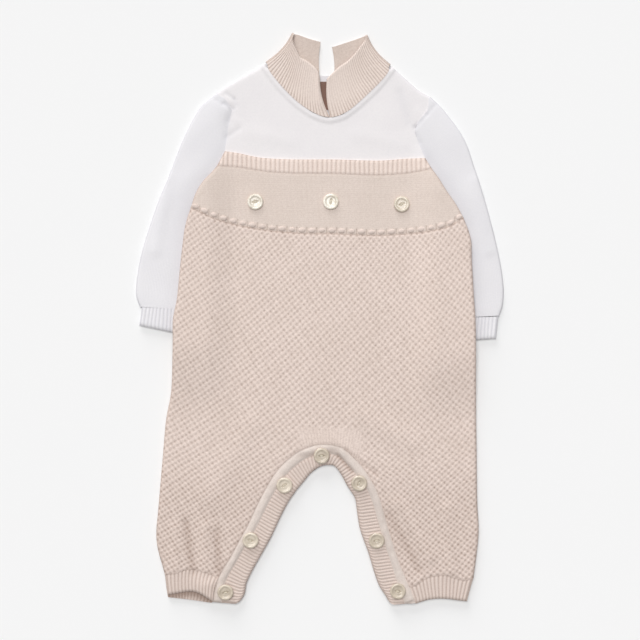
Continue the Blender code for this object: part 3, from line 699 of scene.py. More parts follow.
class Finish:
    """A material with a Principled shader, and helpers that fill it."""

    def __init__(self, name, roughness):
        self.material = bpy.data.materials.new(name)
        self.material.use_nodes = True
        self.tree = self.material.node_tree
        self.shader = self.tree.nodes["Principled BSDF"]
        self.set("Roughness", roughness)

    def set(self, name, value):
        self.shader.inputs[name].default_value = value

    def node(self, kind, **inputs):
        result = self.tree.nodes.new(kind)
        for name, value in inputs.items():
            result.inputs[name.replace("_", " ")].default_value = value
        return result

    def knit_axes(self):
        """The knit coordinates, in millimetres."""
        place = self.tree.nodes.new("ShaderNodeUVMap")
        place.uv_map = "knit"
        parts = self.tree.nodes.new("ShaderNodeSeparateXYZ")
        self.tree.links.new(place.outputs["UV"], parts.inputs["Vector"])
        return Field(self.tree, parts.outputs["X"]), Field(self.tree, parts.outputs["Y"])

    def hollow(self):
        """How much painted shade a place has, from 0 to 1, as stored on the mesh: shade painted into pits,
        grooves, seams, creases and edges.
        """
        depth = self.tree.nodes.new("ShaderNodeAttribute")
        depth.attribute_name = "hollow"
        return Field(self.tree, depth.outputs["Fac"])

    def noise(self, size, detail=2.0):
        """Soft noise around 0.5, about `size` millimetres from spot to spot."""
        place = self.tree.nodes.new("ShaderNodeTexCoord")
        spots = self.node("ShaderNodeTexNoise", Scale=1 / (size * MM), Detail=detail)
        self.tree.links.new(place.outputs["Object"], spots.inputs["Vector"])
        return Field(self.tree, spots.outputs["Fac"])

    def blend(self, share, low, high):
        """A colour between two, by a share from 0 to 1. Either may be a node's colour output."""
        mix = self.tree.nodes.new("ShaderNodeMix")
        mix.data_type = "RGBA"
        self.tree.links.new(share.socket, mix.inputs["Factor"])
        for socket, colour in ((mix.inputs[6], low), (mix.inputs[7], high)):
            if isinstance(colour, bpy.types.NodeSocket):
                self.tree.links.new(colour, socket)
            else:
                socket.default_value = (*colour, 1)
        return mix.outputs[2]

    def colour(self, socket):
        self.tree.links.new(socket, self.shader.inputs["Base Color"])

    def bump(self, height, depth):
        """Relief from a field of heights between 0 and 1, `depth` millimetres deep."""
        bump = self.node("ShaderNodeBump", Distance=depth * MM, Strength=1.0)
        self.tree.links.new(height.socket, bump.inputs["Height"])
        self.tree.links.new(bump.outputs["Normal"], self.shader.inputs["Normal"])


def cotton(name, light, shade, wale, course, stitch, fleck):
    """Knitted cotton: `light` on the crowns of its pattern and `shade` where it has slow patches of random
    tone, blended towards a painted shade colour where the mesh's painted shade and the gaps between strands
    call for it. Stitches are `wale` by `course` millimetres and `stitch` millimetres deep."""
    finish = Finish(name, 0.9)
    finish.set("Sheen Weight", 0.2)
    finish.set("Sheen Roughness", 0.5)
    finish.set("Sheen Tint", (1, 0.97, 0.94, 1))
    finish.set("Specular IOR Level", 0.2)
    u, v = finish.knit_axes()
    across = ((u / wale).fraction() - 0.5).size() * 2
    strand = ((across * 2 - 1) ** 2) * -1 + 1
    twist = ((v / course + across * 0.5) * (2 * math.pi)).cosine() * 0.22 + 0.78
    stitches = strand * twist
    patches = (finish.noise(30.0) - 0.5) * 1.6 + 0.5
    flecks = (finish.noise(1.3, 3.0) - 0.5) * fleck
    # Painted shade from the mesh and between the strands, plus flecks of random tone
    hollow = finish.hollow() + (stitches * -1 + 1) * 0.14 + flecks
    crowns = finish.blend(patches, linear(*light), linear(*shade))
    # The colour that the painted shade blends towards
    deep = linear(*(WHITE_PAINTED_SHADE if name.startswith("white") else BEIGE_PAINTED_SHADE))
    finish.colour(finish.blend(hollow, crowns, deep))
    finish.bump(stitches * 0.75 + finish.noise(0.45, 3.0) * 0.5, stitch)
    return finish.material


def pearl(name, light, dark):
    """Polished shell, clouded between two colours, with a slightly wavy face."""
    finish = Finish(name, 0.22)
    finish.set("Coat Weight", 0.4)
    finish.set("Coat Roughness", 0.1)
    finish.set("Specular IOR Level", 0.5)
    # The bands and clouds are partly the shell's own colour and partly painted reflection
    bands = (finish.noise(4.5, 1.0) - 0.5) * 3.0 + 0.5
    clouds = (finish.noise(1.6, 2.0) - 0.5) * 2.0 + 0.5
    shell = finish.blend(bands, linear(*light), linear(*dark))
    finish.colour(finish.blend(clouds * 0.35, shell, linear(206, 198, 178)))
    finish.bump(bands, 0.12)
    return finish.material


def thread_finish(name):
    """Twisted cream sewing thread."""
    finish = Finish(name, 0.7)
    finish.set("Sheen Weight", 0.3)
    finish.colour(finish.blend(finish.noise(0.6), linear(232, 224, 205), linear(214, 203, 184)))
    finish.bump(finish.noise(0.25), 0.1)
    return finish.material


def tape(name):
    """Brown woven tape with a plain weave."""
    finish = Finish(name, 0.75)
    finish.set("Sheen Weight", 0.2)
    u, v = finish.knit_axes()
    weave = (u * (2 * math.pi / 0.9)).cosine() * (v * (2 * math.pi / 0.9)).cosine() * 0.5 + 0.5
    finish.colour(finish.blend(weave, linear(112, 82, 70), linear(134, 103, 90)))
    finish.bump(weave, 0.12)
    return finish.material


def floor_finish():
    finish = Finish("floor", 0.95)
    finish.set("Specular IOR Level", 0.0)
    finish.colour(finish.blend(finish.noise(90.0), (0.90, 0.90, 0.90), (0.905, 0.905, 0.905)))
    return finish.material


# Colours of the painted shade, towards which pits, grooves, seams, creases and edges are blended
BEIGE_PAINTED_SHADE = (168, 146, 134)
WHITE_PAINTED_SHADE = (203, 202, 208)

# Cottons, with 8-bit colours. Columns: name, the record's slot, wall, light and shade colours, stitch width,
# length and depth, fleck
COTTONS = (
    ("white_yoke_jersey", "white_knit", 1.5, (241, 237, 237), (237, 233, 234), 1.4, 1.1, 0.09, 0.3),
    ("white_sleeve_jersey", "white_knit", 1.5, (236, 234, 236), (232, 230, 233), 1.4, 1.1, 0.09, 0.3),
    ("white_rib_knit", "white_rib", 1.8, (241, 239, 241), (237, 235, 238), 1.6, 1.3, 0.11, 0.3),
    ("beige_plain_knit", "beige_knit", 2.2, (238, 224, 215), (232, 218, 208), 2.1, 1.6, 0.16, 0.5),
    # Painted a little darker than the plain beige, as shade low on the garment
    ("beige_rolled_knit", "beige_knit", 2.2, (234, 222, 214), (223, 211, 203), 1.5, 1.5, 0.2, 0.5),
    ("beige_chest_rib", "beige_rib", 2.2, (246, 230, 221), (241, 224, 214), 1.8, 1.5, 0.15, 0.5),
    # A darker copy of the rib beige: painted shade for the ankle cuffs, the inseam bands and the bobbles
    ("beige_edge_rib", "beige_rib", 2.2, (230, 214, 205), (222, 206, 197), 1.8, 1.5, 0.15, 0.5),
    ("beige_fine_rib", "beige_rib", 2.0, (242, 227, 218), (236, 221, 212), 1.1, 1.0, 0.1, 0.5),
    ("beige_honeycomb_knit", "beige_honeycomb", 2.4, (244, 227, 218), (237, 220, 210), 1.32, 1.4, 0.16, 0.8),
)
SLOTS = {name: slot for name, slot, *_ in COTTONS}
WALLS = {name: wall for name, _, wall, *_ in COTTONS}

MATERIALS = {
    **{name: cotton(name, *looks) for name, _, _, *looks in COTTONS},
    # One shell in three copies: the first painted lighter, as highlight, and the other two painted darker, as
    # shade
    "pearl": pearl("pearl_shell", (250, 243, 231), (222, 211, 194)),
    "pearl_warm": pearl("pearl_shell_warm", (230, 217, 200), (208, 195, 177)),
    "pearl_dull": pearl("pearl_shell_dull", (212, 198, 180), (190, 176, 159)),
    "brown_tape": tape("brown_woven_tape"),
    "thread": thread_finish("cream_thread"),
}


# ---------------------------------------------------------------- meshes

def make_piece(name, points, faces, knit, finish, hollow=None, lining=None, shown=0):
    """An object from points in plan and outward faces, with knit coordinates and painted shade at each point.
    Faces after the first `shown` have the lining's finish, if there is one."""
    mesh = bpy.data.meshes.new(name)
    mesh.from_pydata(((points + ORIGIN) * MM).tolist(), [], faces)
    layer = mesh.uv_layers.new(name="knit")
    corner = np.empty(len(mesh.loops), dtype=np.int32)
    mesh.loops.foreach_get("vertex_index", corner)
    layer.data.foreach_set("uv", knit[corner].astype(np.float32).ravel())
    # The painted shade is kept on each point as an attribute, which the materials read
    if hollow is not None:
        depth = mesh.attributes.new("hollow", "FLOAT", "POINT")
        depth.data.foreach_set("value", np.clip(hollow, 0, 1).astype(np.float32))
    mesh.materials.append(MATERIALS[finish])
    if lining:
        mesh.materials.append(MATERIALS[lining])
        mesh.polygons.foreach_set("material_index", (np.arange(len(faces)) >= shown).astype(np.int32))
    mesh.shade_smooth()
    mesh.set_sharp_from_angle(angle=math.radians(SHARP_ANGLE))
    piece = bpy.data.objects.new(name, mesh)
    bpy.context.collection.objects.link(piece)
    return piece


def grid_faces(rows, columns, start=0):
    index = start + np.arange(rows * columns).reshape(rows, columns)
    quads = [index[:-1, :-1], index[1:, :-1], index[1:, 1:], index[:-1, 1:]]
    return np.stack(quads, axis=-1).reshape(-1, 4)


def ringed_faces(rings, sides, start=0):
    """Faces round rings of points, in order along a closed shape, and over its two ends."""
    index = start + np.arange(rings * sides).reshape(rings, sides)
    around = np.roll(index, -1, axis=1)
    faces = np.stack([index[:-1], index[1:], around[1:], around[:-1]], axis=-1).reshape(-1, 4).tolist()
    return faces + [index[0].tolist(), index[-1][::-1].tolist()]


def border(rows, columns):
    """Grid places round a grid's edge, along its first axis first."""
    ring = [(i, 0) for i in range(rows)]
    ring += [(rows - 1, j) for j in range(1, columns)]
    ring += [(i, columns - 1) for i in reversed(range(rows - 1))]
    ring += [(0, j) for j in reversed(range(1, columns - 1))]
    return ring


def sheet_mesh(name, shown, hidden, knit, hollow, every, finish, shown_is_up=True, lining=None, inner=None):
    """A closed sheet between a fine grid of points and one that is `every` times coarser. `inner` is the
    painted shade of the hidden face."""
    rows, columns = shown.shape[:2]
    lower = hidden[::every, ::every]
    low_rows, low_columns = lower.shape[:2]
    shift = rows * columns
    faces = grid_faces(rows, columns).tolist()
    shown_faces = len(faces)
    faces += grid_faces(low_rows, low_columns, shift)[:, ::-1].tolist()
    ring = border(low_rows, low_columns)
    for (i, j), (k, m) in zip(ring, ring[1:] + ring[:1]):
        fine = [(i * (every - n) + k * n) * columns + j * (every - n) + m * n for n in range(every, -1, -1)]
        faces.append([shift + i * low_columns + j, shift + k * low_columns + m, *fine])
    run, rise = shown[1, 0] - shown[0, 0], shown[0, 1] - shown[0, 0]
    if (np.cross(run[:2], rise[:2]) < 0) == shown_is_up:
        faces = [face[::-1] for face in faces]
    points = np.concatenate([shown.reshape(-1, 3), lower.reshape(-1, 3)])
    wool = np.concatenate([knit.reshape(-1, 2), knit[::every, ::every].reshape(-1, 2)])
    inner = np.full_like(hollow, HIDDEN_PAINTED_SHADE) if inner is None else inner
    # Painted shade at every point, the shown face's first
    depth = np.concatenate([hollow.ravel(), inner[::every, ::every].ravel()])
    return make_piece(name, points, faces, wool, finish, depth, lining, shown_faces)


def samples(length, step, every):
    """How many points cover a length, so that every so many of them make a coarser set."""
    return every * max(1, round(length / step / every)) + 1


def patch(low, high, west, east):
    """A grid of places between four lines of points: low and high run across, west and east upwards."""
    a = np.linspace(0, 1, len(low))[:, None, None]
    b = np.linspace(0, 1, len(west))[None, :, None]
    grid = low[:, None] * (1 - b) + high[:, None] * b + west[None] * (1 - a) + east[None] * a
    corners = (low[0] * (1 - a) + low[-1] * a) * (1 - b) + (high[0] * (1 - a) + high[-1] * a) * b
    return grid - corners


def plan_mesh(loop, points):
    """Triangles over a loop and points inside it, anticlockwise, as indices into both together."""
    corners = np.vstack([loop, points])
    edge = list(range(len(loop)))
    plan, _, triangles, *_ = delaunay_2d_cdt([Vector(c) for c in corners], [], [edge], 1, PLAN_PRECISION)
    plan = np.array([tuple(p) for p in plan])
    triangles = np.array([tuple(t) for t in triangles])
    a, b, c = (plan[triangles[:, i]] for i in range(3))
    turned = np.cross(b - a, c - a) < 0
    triangles[turned] = triangles[turned][:, ::-1]
    return plan, triangles


def lattice(loop, step_x, step_y, warp=None):
    """Evenly spaced places inside a loop, in staggered rows, through a warp if one is given."""
    low, high = loop.min(axis=0) - 40, loop.max(axis=0) + 40
    columns = np.arange(math.floor(low[0] / step_x), math.ceil(high[0] / step_x) + 1)
    rows = np.arange(math.floor(low[1] / step_y), math.ceil(high[1] / step_y) + 1)
    u, v = (axis.ravel() for axis in np.meshgrid(columns, rows))
    u, v = (u + 0.5 * (v % 2)) * step_x, v * step_y
    x, y = warp(u, v) if warp else (u, v)
    points = np.stack([x, y], axis=1)
    box = np.all((points > loop.min(axis=0)) & (points < loop.max(axis=0)), axis=1)
    points = points[box]
    points = points[inside(points, loop)]
    sparse = loop[::3]
    near = distance_to(points, sparse, np.roll(sparse, -1, axis=0)) < 3 * max(step_x, step_y)
    close = distance_to(points[near], loop, np.roll(loop, -1, axis=0)) < LATTICE_MARGIN * min(step_x, step_y)
    keep = np.ones(len(points), dtype=bool)
    keep[np.flatnonzero(near)[close]] = False
    return points[keep]


# ---------------------------------------------------------------- pieces

def laid_on(node):
    """What a piece lies on: the floor, or the cloth of a piece under it."""
    below = UNDER.get(node, node.replace("_front", "_back"))
    return ["floor"] if below == node else [f"{below}_cloth"]


def layer_height(node, wall):
    """Height of a flat-laid piece's lower face."""
    return 0.0 if laid_on(node) == ["floor"] else wall + LAYER_GAP


def declare(piece, node, slot, width, length, area, with_pieces=()):
    """Hangs a sheet of cloth from the root and hides its node. Sizes are in millimetres."""
    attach(piece, "root")
    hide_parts(node)
    width * MM
    length * MM
    laid_on(node)
    area * MM * MM


def surfaces(outline, places, wall, layer, relief, rise, seam_shade):
    """Heights of the two faces of a flat-laid piece at some places, and the painted shade at its seams, along
    its free edges and in its creases. The face that shows has the relief."""
    x, y = places.reshape(-1, 2).T
    free, seam = outline.distances(places.reshape(-1, 2))
    base = layer + tuck_lift(x, y)
    fade = EDGE_RELIEF + (1 - EDGE_RELIEF) * eased(np.minimum(free, seam) / EDGE_FADE)
    sunk = rim_drop(free, wall) + seam_dip(seam, seam_shade)
    # Painted shade at the seams and along the free edges
    shade = seam_shade * (1 - eased(seam / SEAM_RADIUS)) + RIM_SHADE * (1 - eased(free / RIM_RADIUS)) ** 2
    if layer > 0:
        creases = crease_lift(x, y)
        folds = creases + rise
        # Painted shade in the creases
        shade = shade + CREASE_SHADE * np.maximum(-creases, 0)
        return base + wall + folds + relief.reshape(-1) * fade - sunk, base + np.maximum(folds, 0), shade
    return base + wall, base + sunk + (relief.max() - relief.reshape(-1)) * fade, shade


def flat_panel(node, pattern, warp=None, rise=None, with_pieces=()):
    """A piece with a free outline: a fine face that shows and a coarse one that doesn't. `pattern` gives
    heights, knit coordinates and painted shade at places in plan."""
    finish, *step, seam_shade = CLOTH_OF[node]
    wall = WALLS[finish]
    layer = layer_height(node, wall)
    outline = Outline(node)
    loop = outline.loop
    lattices = (lattice(loop, *step, warp), lattice(loop, HIDDEN_STEP, HIDDEN_STEP))
    plans = [plan_mesh(loop, places) for places in lattices]
    points, wools, painted_shades = [], [], []
    for i, (plan, _) in enumerate(plans):
        relief, knit, hollow = pattern(*plan.T)
        lift = rise(plan) if rise else 0.0
        *heights, shade = surfaces(outline, plan, wall, layer, relief, lift, seam_shade)
        points.append(np.column_stack([plan, heights[i if layer > 0 else 1 - i]]))
        wools.append(knit)
        painted_shades.append(hollow + shade if i == 0 else np.full(len(plan), HIDDEN_PAINTED_SHADE))
    count = len(points[0])
    fine, coarse = plans[0][1], plans[1][1][:, ::-1] + count
    edge = np.arange(len(loop))
    after = np.roll(edge, -1)
    wall_faces = np.stack([count + edge, count + after, after, edge], axis=1)
    parts = (fine, coarse, wall_faces)
    faces = [face for part in parts for face in (part if layer > 0 else part[:, ::-1]).tolist()]
    # Painted shade at every point
    depth = np.concatenate(painted_shades)
    piece = make_piece(f"{node}_cloth", np.vstack(points), faces, np.vstack(wools), finish, depth)
    declare(piece, node, SLOTS[finish], *np.ptp(loop, axis=0), area_of(loop), with_pieces)


def shaped_ends(places, length, width, radius, trim):
    """A strip's grid of places with the corners of its free edge, the one at the grid's low side, rounded,
    and its far end trimmed by some amounts at the low and the high side."""
    columns, rows = places.shape[:2]
    even = np.linspace(0, 1, columns)
    result = places.copy()
    for j, across in enumerate(np.linspace(0, 1, rows)):
        bare = max(1 - across * width / radius, 0) if radius else 0
        corner = radius * (1 - math.sqrt(1 - bare ** 2))
        start = corner / length
        end = 1 - (corner + trim[0] * (1 - across) + trim[1] * across) / length
        inner = start + even * (min(end, 1) - start)
        for axis in (0, 1):
            result[:, j, axis] = np.interp(inner, even, places[:, j, axis])
        if end > 1:
            last = result[-1, j] - result[-2, j]
            result[-1, j] += (end - 1) * length * last / np.linalg.norm(last)
    return result


def band_panel(node, pattern, strip=False, inside_relief=0.0, inside_shade=None, rise=None, rounding=0.0,
               trim=(0.0, 0.0)):
    """A four-sided piece. `pattern` gives heights and knit coordinates from millimetres and shares of its
    size along and up it. A strip is a long bent one, whose cut is its length by its width."""
    finish, *step, seam_shade = CLOTH_OF[node]
    wall = WALLS[finish]
    layer = layer_height(node, wall)
    every = 1 if inside_relief else HIDDEN_EVERY
    outline = Outline(node)
    top, left, bottom, right = chains(grown(outline.raw[:, :2], SEAM_GROWTH), 4)
    top, left = top[::-1], left[::-1]
    columns = samples(max(line_length(top), line_length(bottom)), step[0], every)
    rows = samples(max(line_length(left), line_length(right)), step[1], every)
    low, high = level_pair(bottom, top, columns)
    places = patch(low, high, curve(left, rows), curve(right, rows))
    length = (line_length(top) + line_length(bottom)) / 2
    width = float(np.linalg.norm(high - low, axis=1).mean())
    if strip:
        places = shaped_ends(places, length, width, rounding, trim)
    u, v = np.meshgrid(np.linspace(0, length, columns), np.linspace(0, width, rows), indexing="ij")
    relief, knit, hollow = pattern(u, v, u / length, v / width)
    lift = rise(places.reshape(-1, 2)) if rise else 0.0
    upper, lower, shade = surfaces(outline, places, wall, layer, relief, lift, seam_shade)
    upper = upper.reshape(columns, rows) + inside_relief * relief
    shown, hidden = (upper, lower.reshape(columns, rows))[::1 if layer > 0 else -1]
    # Painted shade of the hidden face, deeper inside the left ankle's mouth
    inner = hollow + inside_shade(places) if inside_shade else None
    piece = sheet_mesh(f"{node}_cloth", np.dstack([places, shown]), np.dstack([places, hidden]), knit,
                       hollow + shade.reshape(hollow.shape), every, finish, layer > 0, inner=inner)
    size = area_of(outline.loop)
    flat = (max(size / length, STRIP_LEAST), length) if strip else np.ptp(outline.loop, axis=0)
    declare(piece, node, SLOTS[finish], *flat, size)


def stretched(grid, free):
    """A folded piece's grid whose outermost points are moved outwards, to close its seams."""
    result = grid.copy()
    for name, end, beside in (("bottom", 0, 1), ("top", -1, -2)):
        run = grid[:, end] - grid[:, beside]
        amount = 0.0 if name in free else FOLDED_GROWTH
        result[:, end] += amount * run / np.linalg.norm(run, axis=1)[:, None]
    for end, beside in ((0, 1), (-1, -2)):
        run = grid[end] - grid[beside]
        amount = FREE_GROWTH if "sides" in free else FOLDED_GROWTH
        result[end] += amount * run / np.linalg.norm(run, axis=1)[:, None]
    return result


def wrapped_piece(node, corners, pattern, rise=None, free=(), rim=RIM_RADIUS, lining=None):
    """A piece laid flat and folded round a line, so that it has a front and a back. `corners` are the bottom
    and top ends of the front's other edge, of the fold and of the back's other edge."""
    finish, *step, seam_shade = CLOTH_OF[node]
    wall, every = WALLS[finish], HIDDEN_EVERY
    front_low, front_high, fold_low, fold_high, back_low, back_high = corners
    front_loop, back_loop = upward_loops(node)
    outer, inner = wall + LAYER_GAP / 2, LAYER_GAP / 2
    bottom, fold, top, edge = cut_at(front_loop, [front_low, fold_low, fold_high, front_high])
    middle = front_loop[:, :2].mean(axis=0)
    fold = moved(fold, FOLD_FACET * outer, middle)
    lows, backs, highs, _ = cut_at(back_loop, [fold_low, back_low, back_high, fold_high])
    rows = samples(line_length(fold), step[1], every)
    folded = curve(fold, rows)
    outward = -aside(folded, middle)
    turns = samples(math.pi * outer, min(step[0], FOLD_STEP), every)
    grids = []
    for low, high, west, east in (
        (ending_at(bottom, bottom[0], fold[0]), ending_at(top[::-1], top[-1], fold[-1]), edge[::-1], fold),
        (ending_at(lows, fold[0], lows[-1]), ending_at(highs[::-1], fold[-1], highs[0]), fold, backs),
    ):
        columns = samples(max(line_length(low), line_length(high)), step[0], every)
        grids.append(patch(curve(low, columns), curve(high, columns), curve(west, rows), curve(east, rows)))
    front, back = grids
    lines = stretched(np.array([*front, *[folded] * (turns - 1), *back[1:]]), free)
    angle = np.concatenate([np.zeros(len(front)), np.linspace(0, math.pi, turns)[1:],
                            np.full(len(back) - 1, math.pi)])
    plan = lines + outward[None] * (outer * np.sin(angle))[:, None, None]
    centre = plan[:, rows // 2]
    across = places_along(centre) + np.concatenate([[0], np.cumsum(np.abs(np.diff(outer * np.cos(angle))))])
    u, v = np.meshgrid(across, places_along(folded), indexing="ij")
    relief, knit, hollow = pattern(u, v, u / u.max(), v / v.max())
    side = ((1 + np.cos(angle)) / 2)[:, None]
    lift = creases = crease_lift(plan[..., 0], plan[..., 1])
    if rise:
        lift = creases + rise(u, v, u / across[len(front)], v / v.max())
    sunk = np.zeros_like(u)
    # Seams sink and get painted shade; free edges are rounded
    for name, gap in (("bottom", v), ("top", v.max() - v), ("sides", np.minimum(u, u.max() - u))):
        if name in free:
            sunk += rim_drop(gap, wall, rim)
        else:
            sunk += seam_dip(gap, seam_shade)
            hollow = hollow + seam_shade * (1 - eased(gap / SEAM_RADIUS))
    # Painted shade in the creases, painted shadow beside the body's edge, and painted shade round the fold's
    # outer edge
    shade = CREASE_SHADE * np.maximum(-creases, 0) + beside_body(plan)
    hollow = hollow + shade * side + FOLD_SHADE * np.sin(angle)[:, None]
    reach = outer + relief - relief.max() * (1 - side) - sunk
    shown = np.dstack([plan, outer + reach * np.cos(angle)[:, None] + lift * side])
    plan = lines + outward[None] * (inner * np.sin(angle))[:, None, None]
    hidden = np.dstack([plan, outer + inner * np.cos(angle)[:, None] + np.maximum(lift, 0) * side])
    piece = sheet_mesh(f"{node}_cloth", shown, hidden, knit, hollow, every, finish, lining=lining)
    size = area_of(outline_of(front)) + area_of(outline_of(back)) + math.pi * outer * line_length(fold)
    width, length = across[-1], max(v.max(), size / across[-1])
    declare(piece, node, SLOTS[finish], width, length, size)


def beside_body(plan):
    """How much painted shadow the white cloth gets where the body's edge stands over it."""
    points = plan.reshape(-1, 2)
    gap = np.full(len(points), FAR)
    for node in ("chest_rib_front", "bib_front", "body_front"):
        edge = LOOPS[node][:, :2]
        np.minimum(gap, distance_to(points, edge, np.roll(edge, -1, axis=0)), out=gap)
    return BESIDE_SHADE * np.exp(-(gap / BESIDE_REACH) ** 2).reshape(plan.shape[:2])


def outline_of(grid):
    return np.array([grid[place] for place in border(*grid.shape[:2])])


# ---------------------------------------------------------------- patterns of the pieces

HEM_LINE = curve(cut_at(LOOPS["bib_front"], BIB_HEM_ENDS)[0], 60)


def crotch_share(x, y):
    """How far the cloth above the crotch is ribbed rather than honeycomb."""
    down = eased((CROTCH_RIB_TOP - y) / CROTCH_BLEND_DOWN)
    return down * eased((CROTCH_RIB_HALF - np.abs(x - CROTCH_RIB_MIDDLE)) / CROTCH_BLEND_ACROSS)


def honeycomb_cloth(x, y):
    """The body's stitch, with a fan of ribs above the crotch and a groove under the bib's hem. Its pits and
    the groove get painted shade, and painted shade darkens it towards the bottom and down the legs.
    """
    u, v = to_knit(x, y)
    puff = honeycomb(u, v)
    fan = np.arctan2(x - CROTCH_RIB_MIDDLE, y - CROTCH_FAN_CENTRE) * (CROTCH_RIB_TOP - CROTCH_FAN_CENTRE)
    share = crotch_share(x, y)
    ribs = CROTCH_RIB_FLOOR + (1 - CROTCH_RIB_FLOOR) * rib(fan, CROTCH_RIB_PITCH)
    height = (1 - share) * puff + share * ribs
    away = distance_to(np.stack([x, y], axis=1), HEM_LINE[:-1], HEM_LINE[1:])
    groove = HEM_GROOVE_DEPTH * np.exp(-((away / HEM_GROOVE) ** 2))
    leg = leg_share(y)
    uneven = (1 + PIT_UNEVEN * waves(x, y, PIT_WAVES)) * (1 + LEG_PIT_SHADE * leg)
    low = LOW_SHADE * eased((LOW_TOP - y) / LOW_BLEND) + LEG_SHADE * leg
    # Painted shade in the pits and the groove, and darker towards the bottom and down the legs
    hollow = PIT_SHADE * (1 - height) * uneven + groove + low
    return CELL_DEPTH * height - groove, np.stack([u, v], axis=-1), hollow


def bobble_spots():
    """Where the bobbles' seam places are, from left to right."""
    line = cut_at(LOOPS["bib_front"], BIB_HEM_ENDS)[0]
    line = line[np.argsort(line[:, 0])]
    count = round(line_length(line) / BOBBLE_PITCH)
    return spread(line, (np.arange(count) + 0.5) / count)


def stocking_cloth(x, y):
    """Stocking stitch, with a short upright slit between each two bobbles. Painted shade lies between the
    strands and in the slits.
    """
    u = x - BIB_LEAN * y
    v = y + BIB_BOW * x * x
    stitch = plain(u, v, STITCH_ACROSS, STITCH_ALONG)
    spots = bobble_spots()
    between = (spots[1:] + spots[:-1]) / 2
    away = distance_to(np.stack([x, y], axis=-1), between + (0, SLIT_LOW), between + (0, SLIT_HIGH))
    slit = np.exp(-((away / SLIT_HALF) ** 2))
    hollow = STITCH_SHADE * (1 - stitch) + SLIT_SHADE * slit
    return STITCH_DEPTH * stitch - SLIT_DEPTH * slit, np.stack([u, v], axis=-1), hollow


def jersey_cloth(x, y):
    height, size = YOKE_WAVES
    return height * waves(x, y, size), np.stack([x, y], axis=-1), np.zeros_like(x)


def upright_ribs(x, y):
    """Ribs that run straight up the garment, with painted shade in their grooves."""
    height = rib(x + RIB_UNEVEN * waves(x, y, RIB_WAVES), CHEST_PITCH)
    return CHEST_DEPTH * height, np.stack([x, y], axis=-1), CHEST_SHADE * (1 - height)


def ribbed(pitch, depth, shade):
    """A rib pattern that runs up a piece, with painted shade in its grooves."""
    def pattern(u, v, s, t):
        count = max(1, round(float(u.max()) / pitch))
        turned = s * count * pitch
        groove = 1 - rib(turned + RIB_UNEVEN * waves(u, v, RIB_WAVES), pitch)
        return depth * (1 - groove), np.stack([turned, v], axis=-1), shade * groove
    return pattern


def collar_ribs(u, v, s, t):
    """Fine ribs, plain to see by the neckline and the fold and faint by the front slit, with painted shade in
    their grooves.
    """
    count = max(1, round(float(u.max()) / COLLAR_PITCH))
    turned = s * count * COLLAR_PITCH
    near = np.maximum(eased(s / 0.35 - 0.25), eased(1 - t / 0.45))
    strength = COLLAR_FAINT + (1 - COLLAR_FAINT) * near
    groove = strength * (1 - rib(turned + RIB_UNEVEN * waves(u, v, COLLAR_WAVES), COLLAR_PITCH))
    return COLLAR_RIB_DEPTH * (1 - groove), np.stack([turned, v], axis=-1), COLLAR_RIB_SHADE * groove


def rolled_strip(u, v, s, t):
    """A plain strip whose middle is raised, with slow lumps, and painted shade that deepens where the lumps
    dip.
    """
    height, size = ROLL_WAVES
    crown = np.clip(1 - (2 * t - 1) ** 2, 0, 1) ** 0.8
    lumps = height * waves(u, v, size) * crown
    return ROLL_HEIGHT * crown + lumps, np.stack([v, u], axis=-1), 0.06 - 0.12 * lumps


def jersey_strip(u, v, s, t):
    height, size = SLEEVE_WAVES
    return height * waves(u, v, size), np.stack([u, v], axis=-1), np.zeros_like(u)


def neck_roll(plan):
    """The yoke's raised edge along the neckline."""
    line = cut_at(LOOPS["yoke_front"], NECK_ENDS)[0]
    line = curve(line, 60)
    gap = distance_to(plan, line[:-1], line[1:])
    share = (gap - NECK_ROLL_MIDDLE) / (NECK_ROLL_WIDTH - NECK_ROLL_MIDDLE)
    return NECK_ROLL_HEIGHT * np.sqrt(np.clip(1 - share ** 2, 0, 1))


def sleeve_puff(u, v, s, t):
    height, size = PUFF_WAVES
    return SLEEVE_PUFF * np.clip(4 * s * (1 - s), 0, 1) + height * waves(u, v, size)


def collar_rise(curl):
    """The collar's slope up to its top edge, and the curl of its front edge, `curl` millimetres high."""
    def rise(u, v, s, t):
        return COLLAR_RISE * t ** 2 + curl * np.exp(-((u - CURL_MIDDLE) / CURL_HALF) ** 2) * eased(3 * t)
    return rise


# ---------------------------------------------------------------- buttons, bobbles and label

def button_face(radius, turn, eye):
    """Top face of a button: a dished middle with a rim, an eye-shaped dip of some depth, and two holes."""
    rise = np.interp(radius, *zip(*BUTTON_FACE))
    x, y = radius * np.cos(turn), radius * np.sin(turn)
    lid = np.clip(1 - (x / EYE_LENGTH) ** 2 - np.abs(y) / EYE_WIDTH, 0, 1)
    rise = rise - eye * eased(lid * EYE_STEEPNESS)
    for side in (-1, 1):
        hole = np.hypot(x - side * HOLE_PLACE, y)
        rise = rise - HOLE_DEPTH * (1 - eased((hole - HOLE_RADIUS) / HOLE_SLOPE))
    return np.maximum(rise, BUTTON_LEAST)


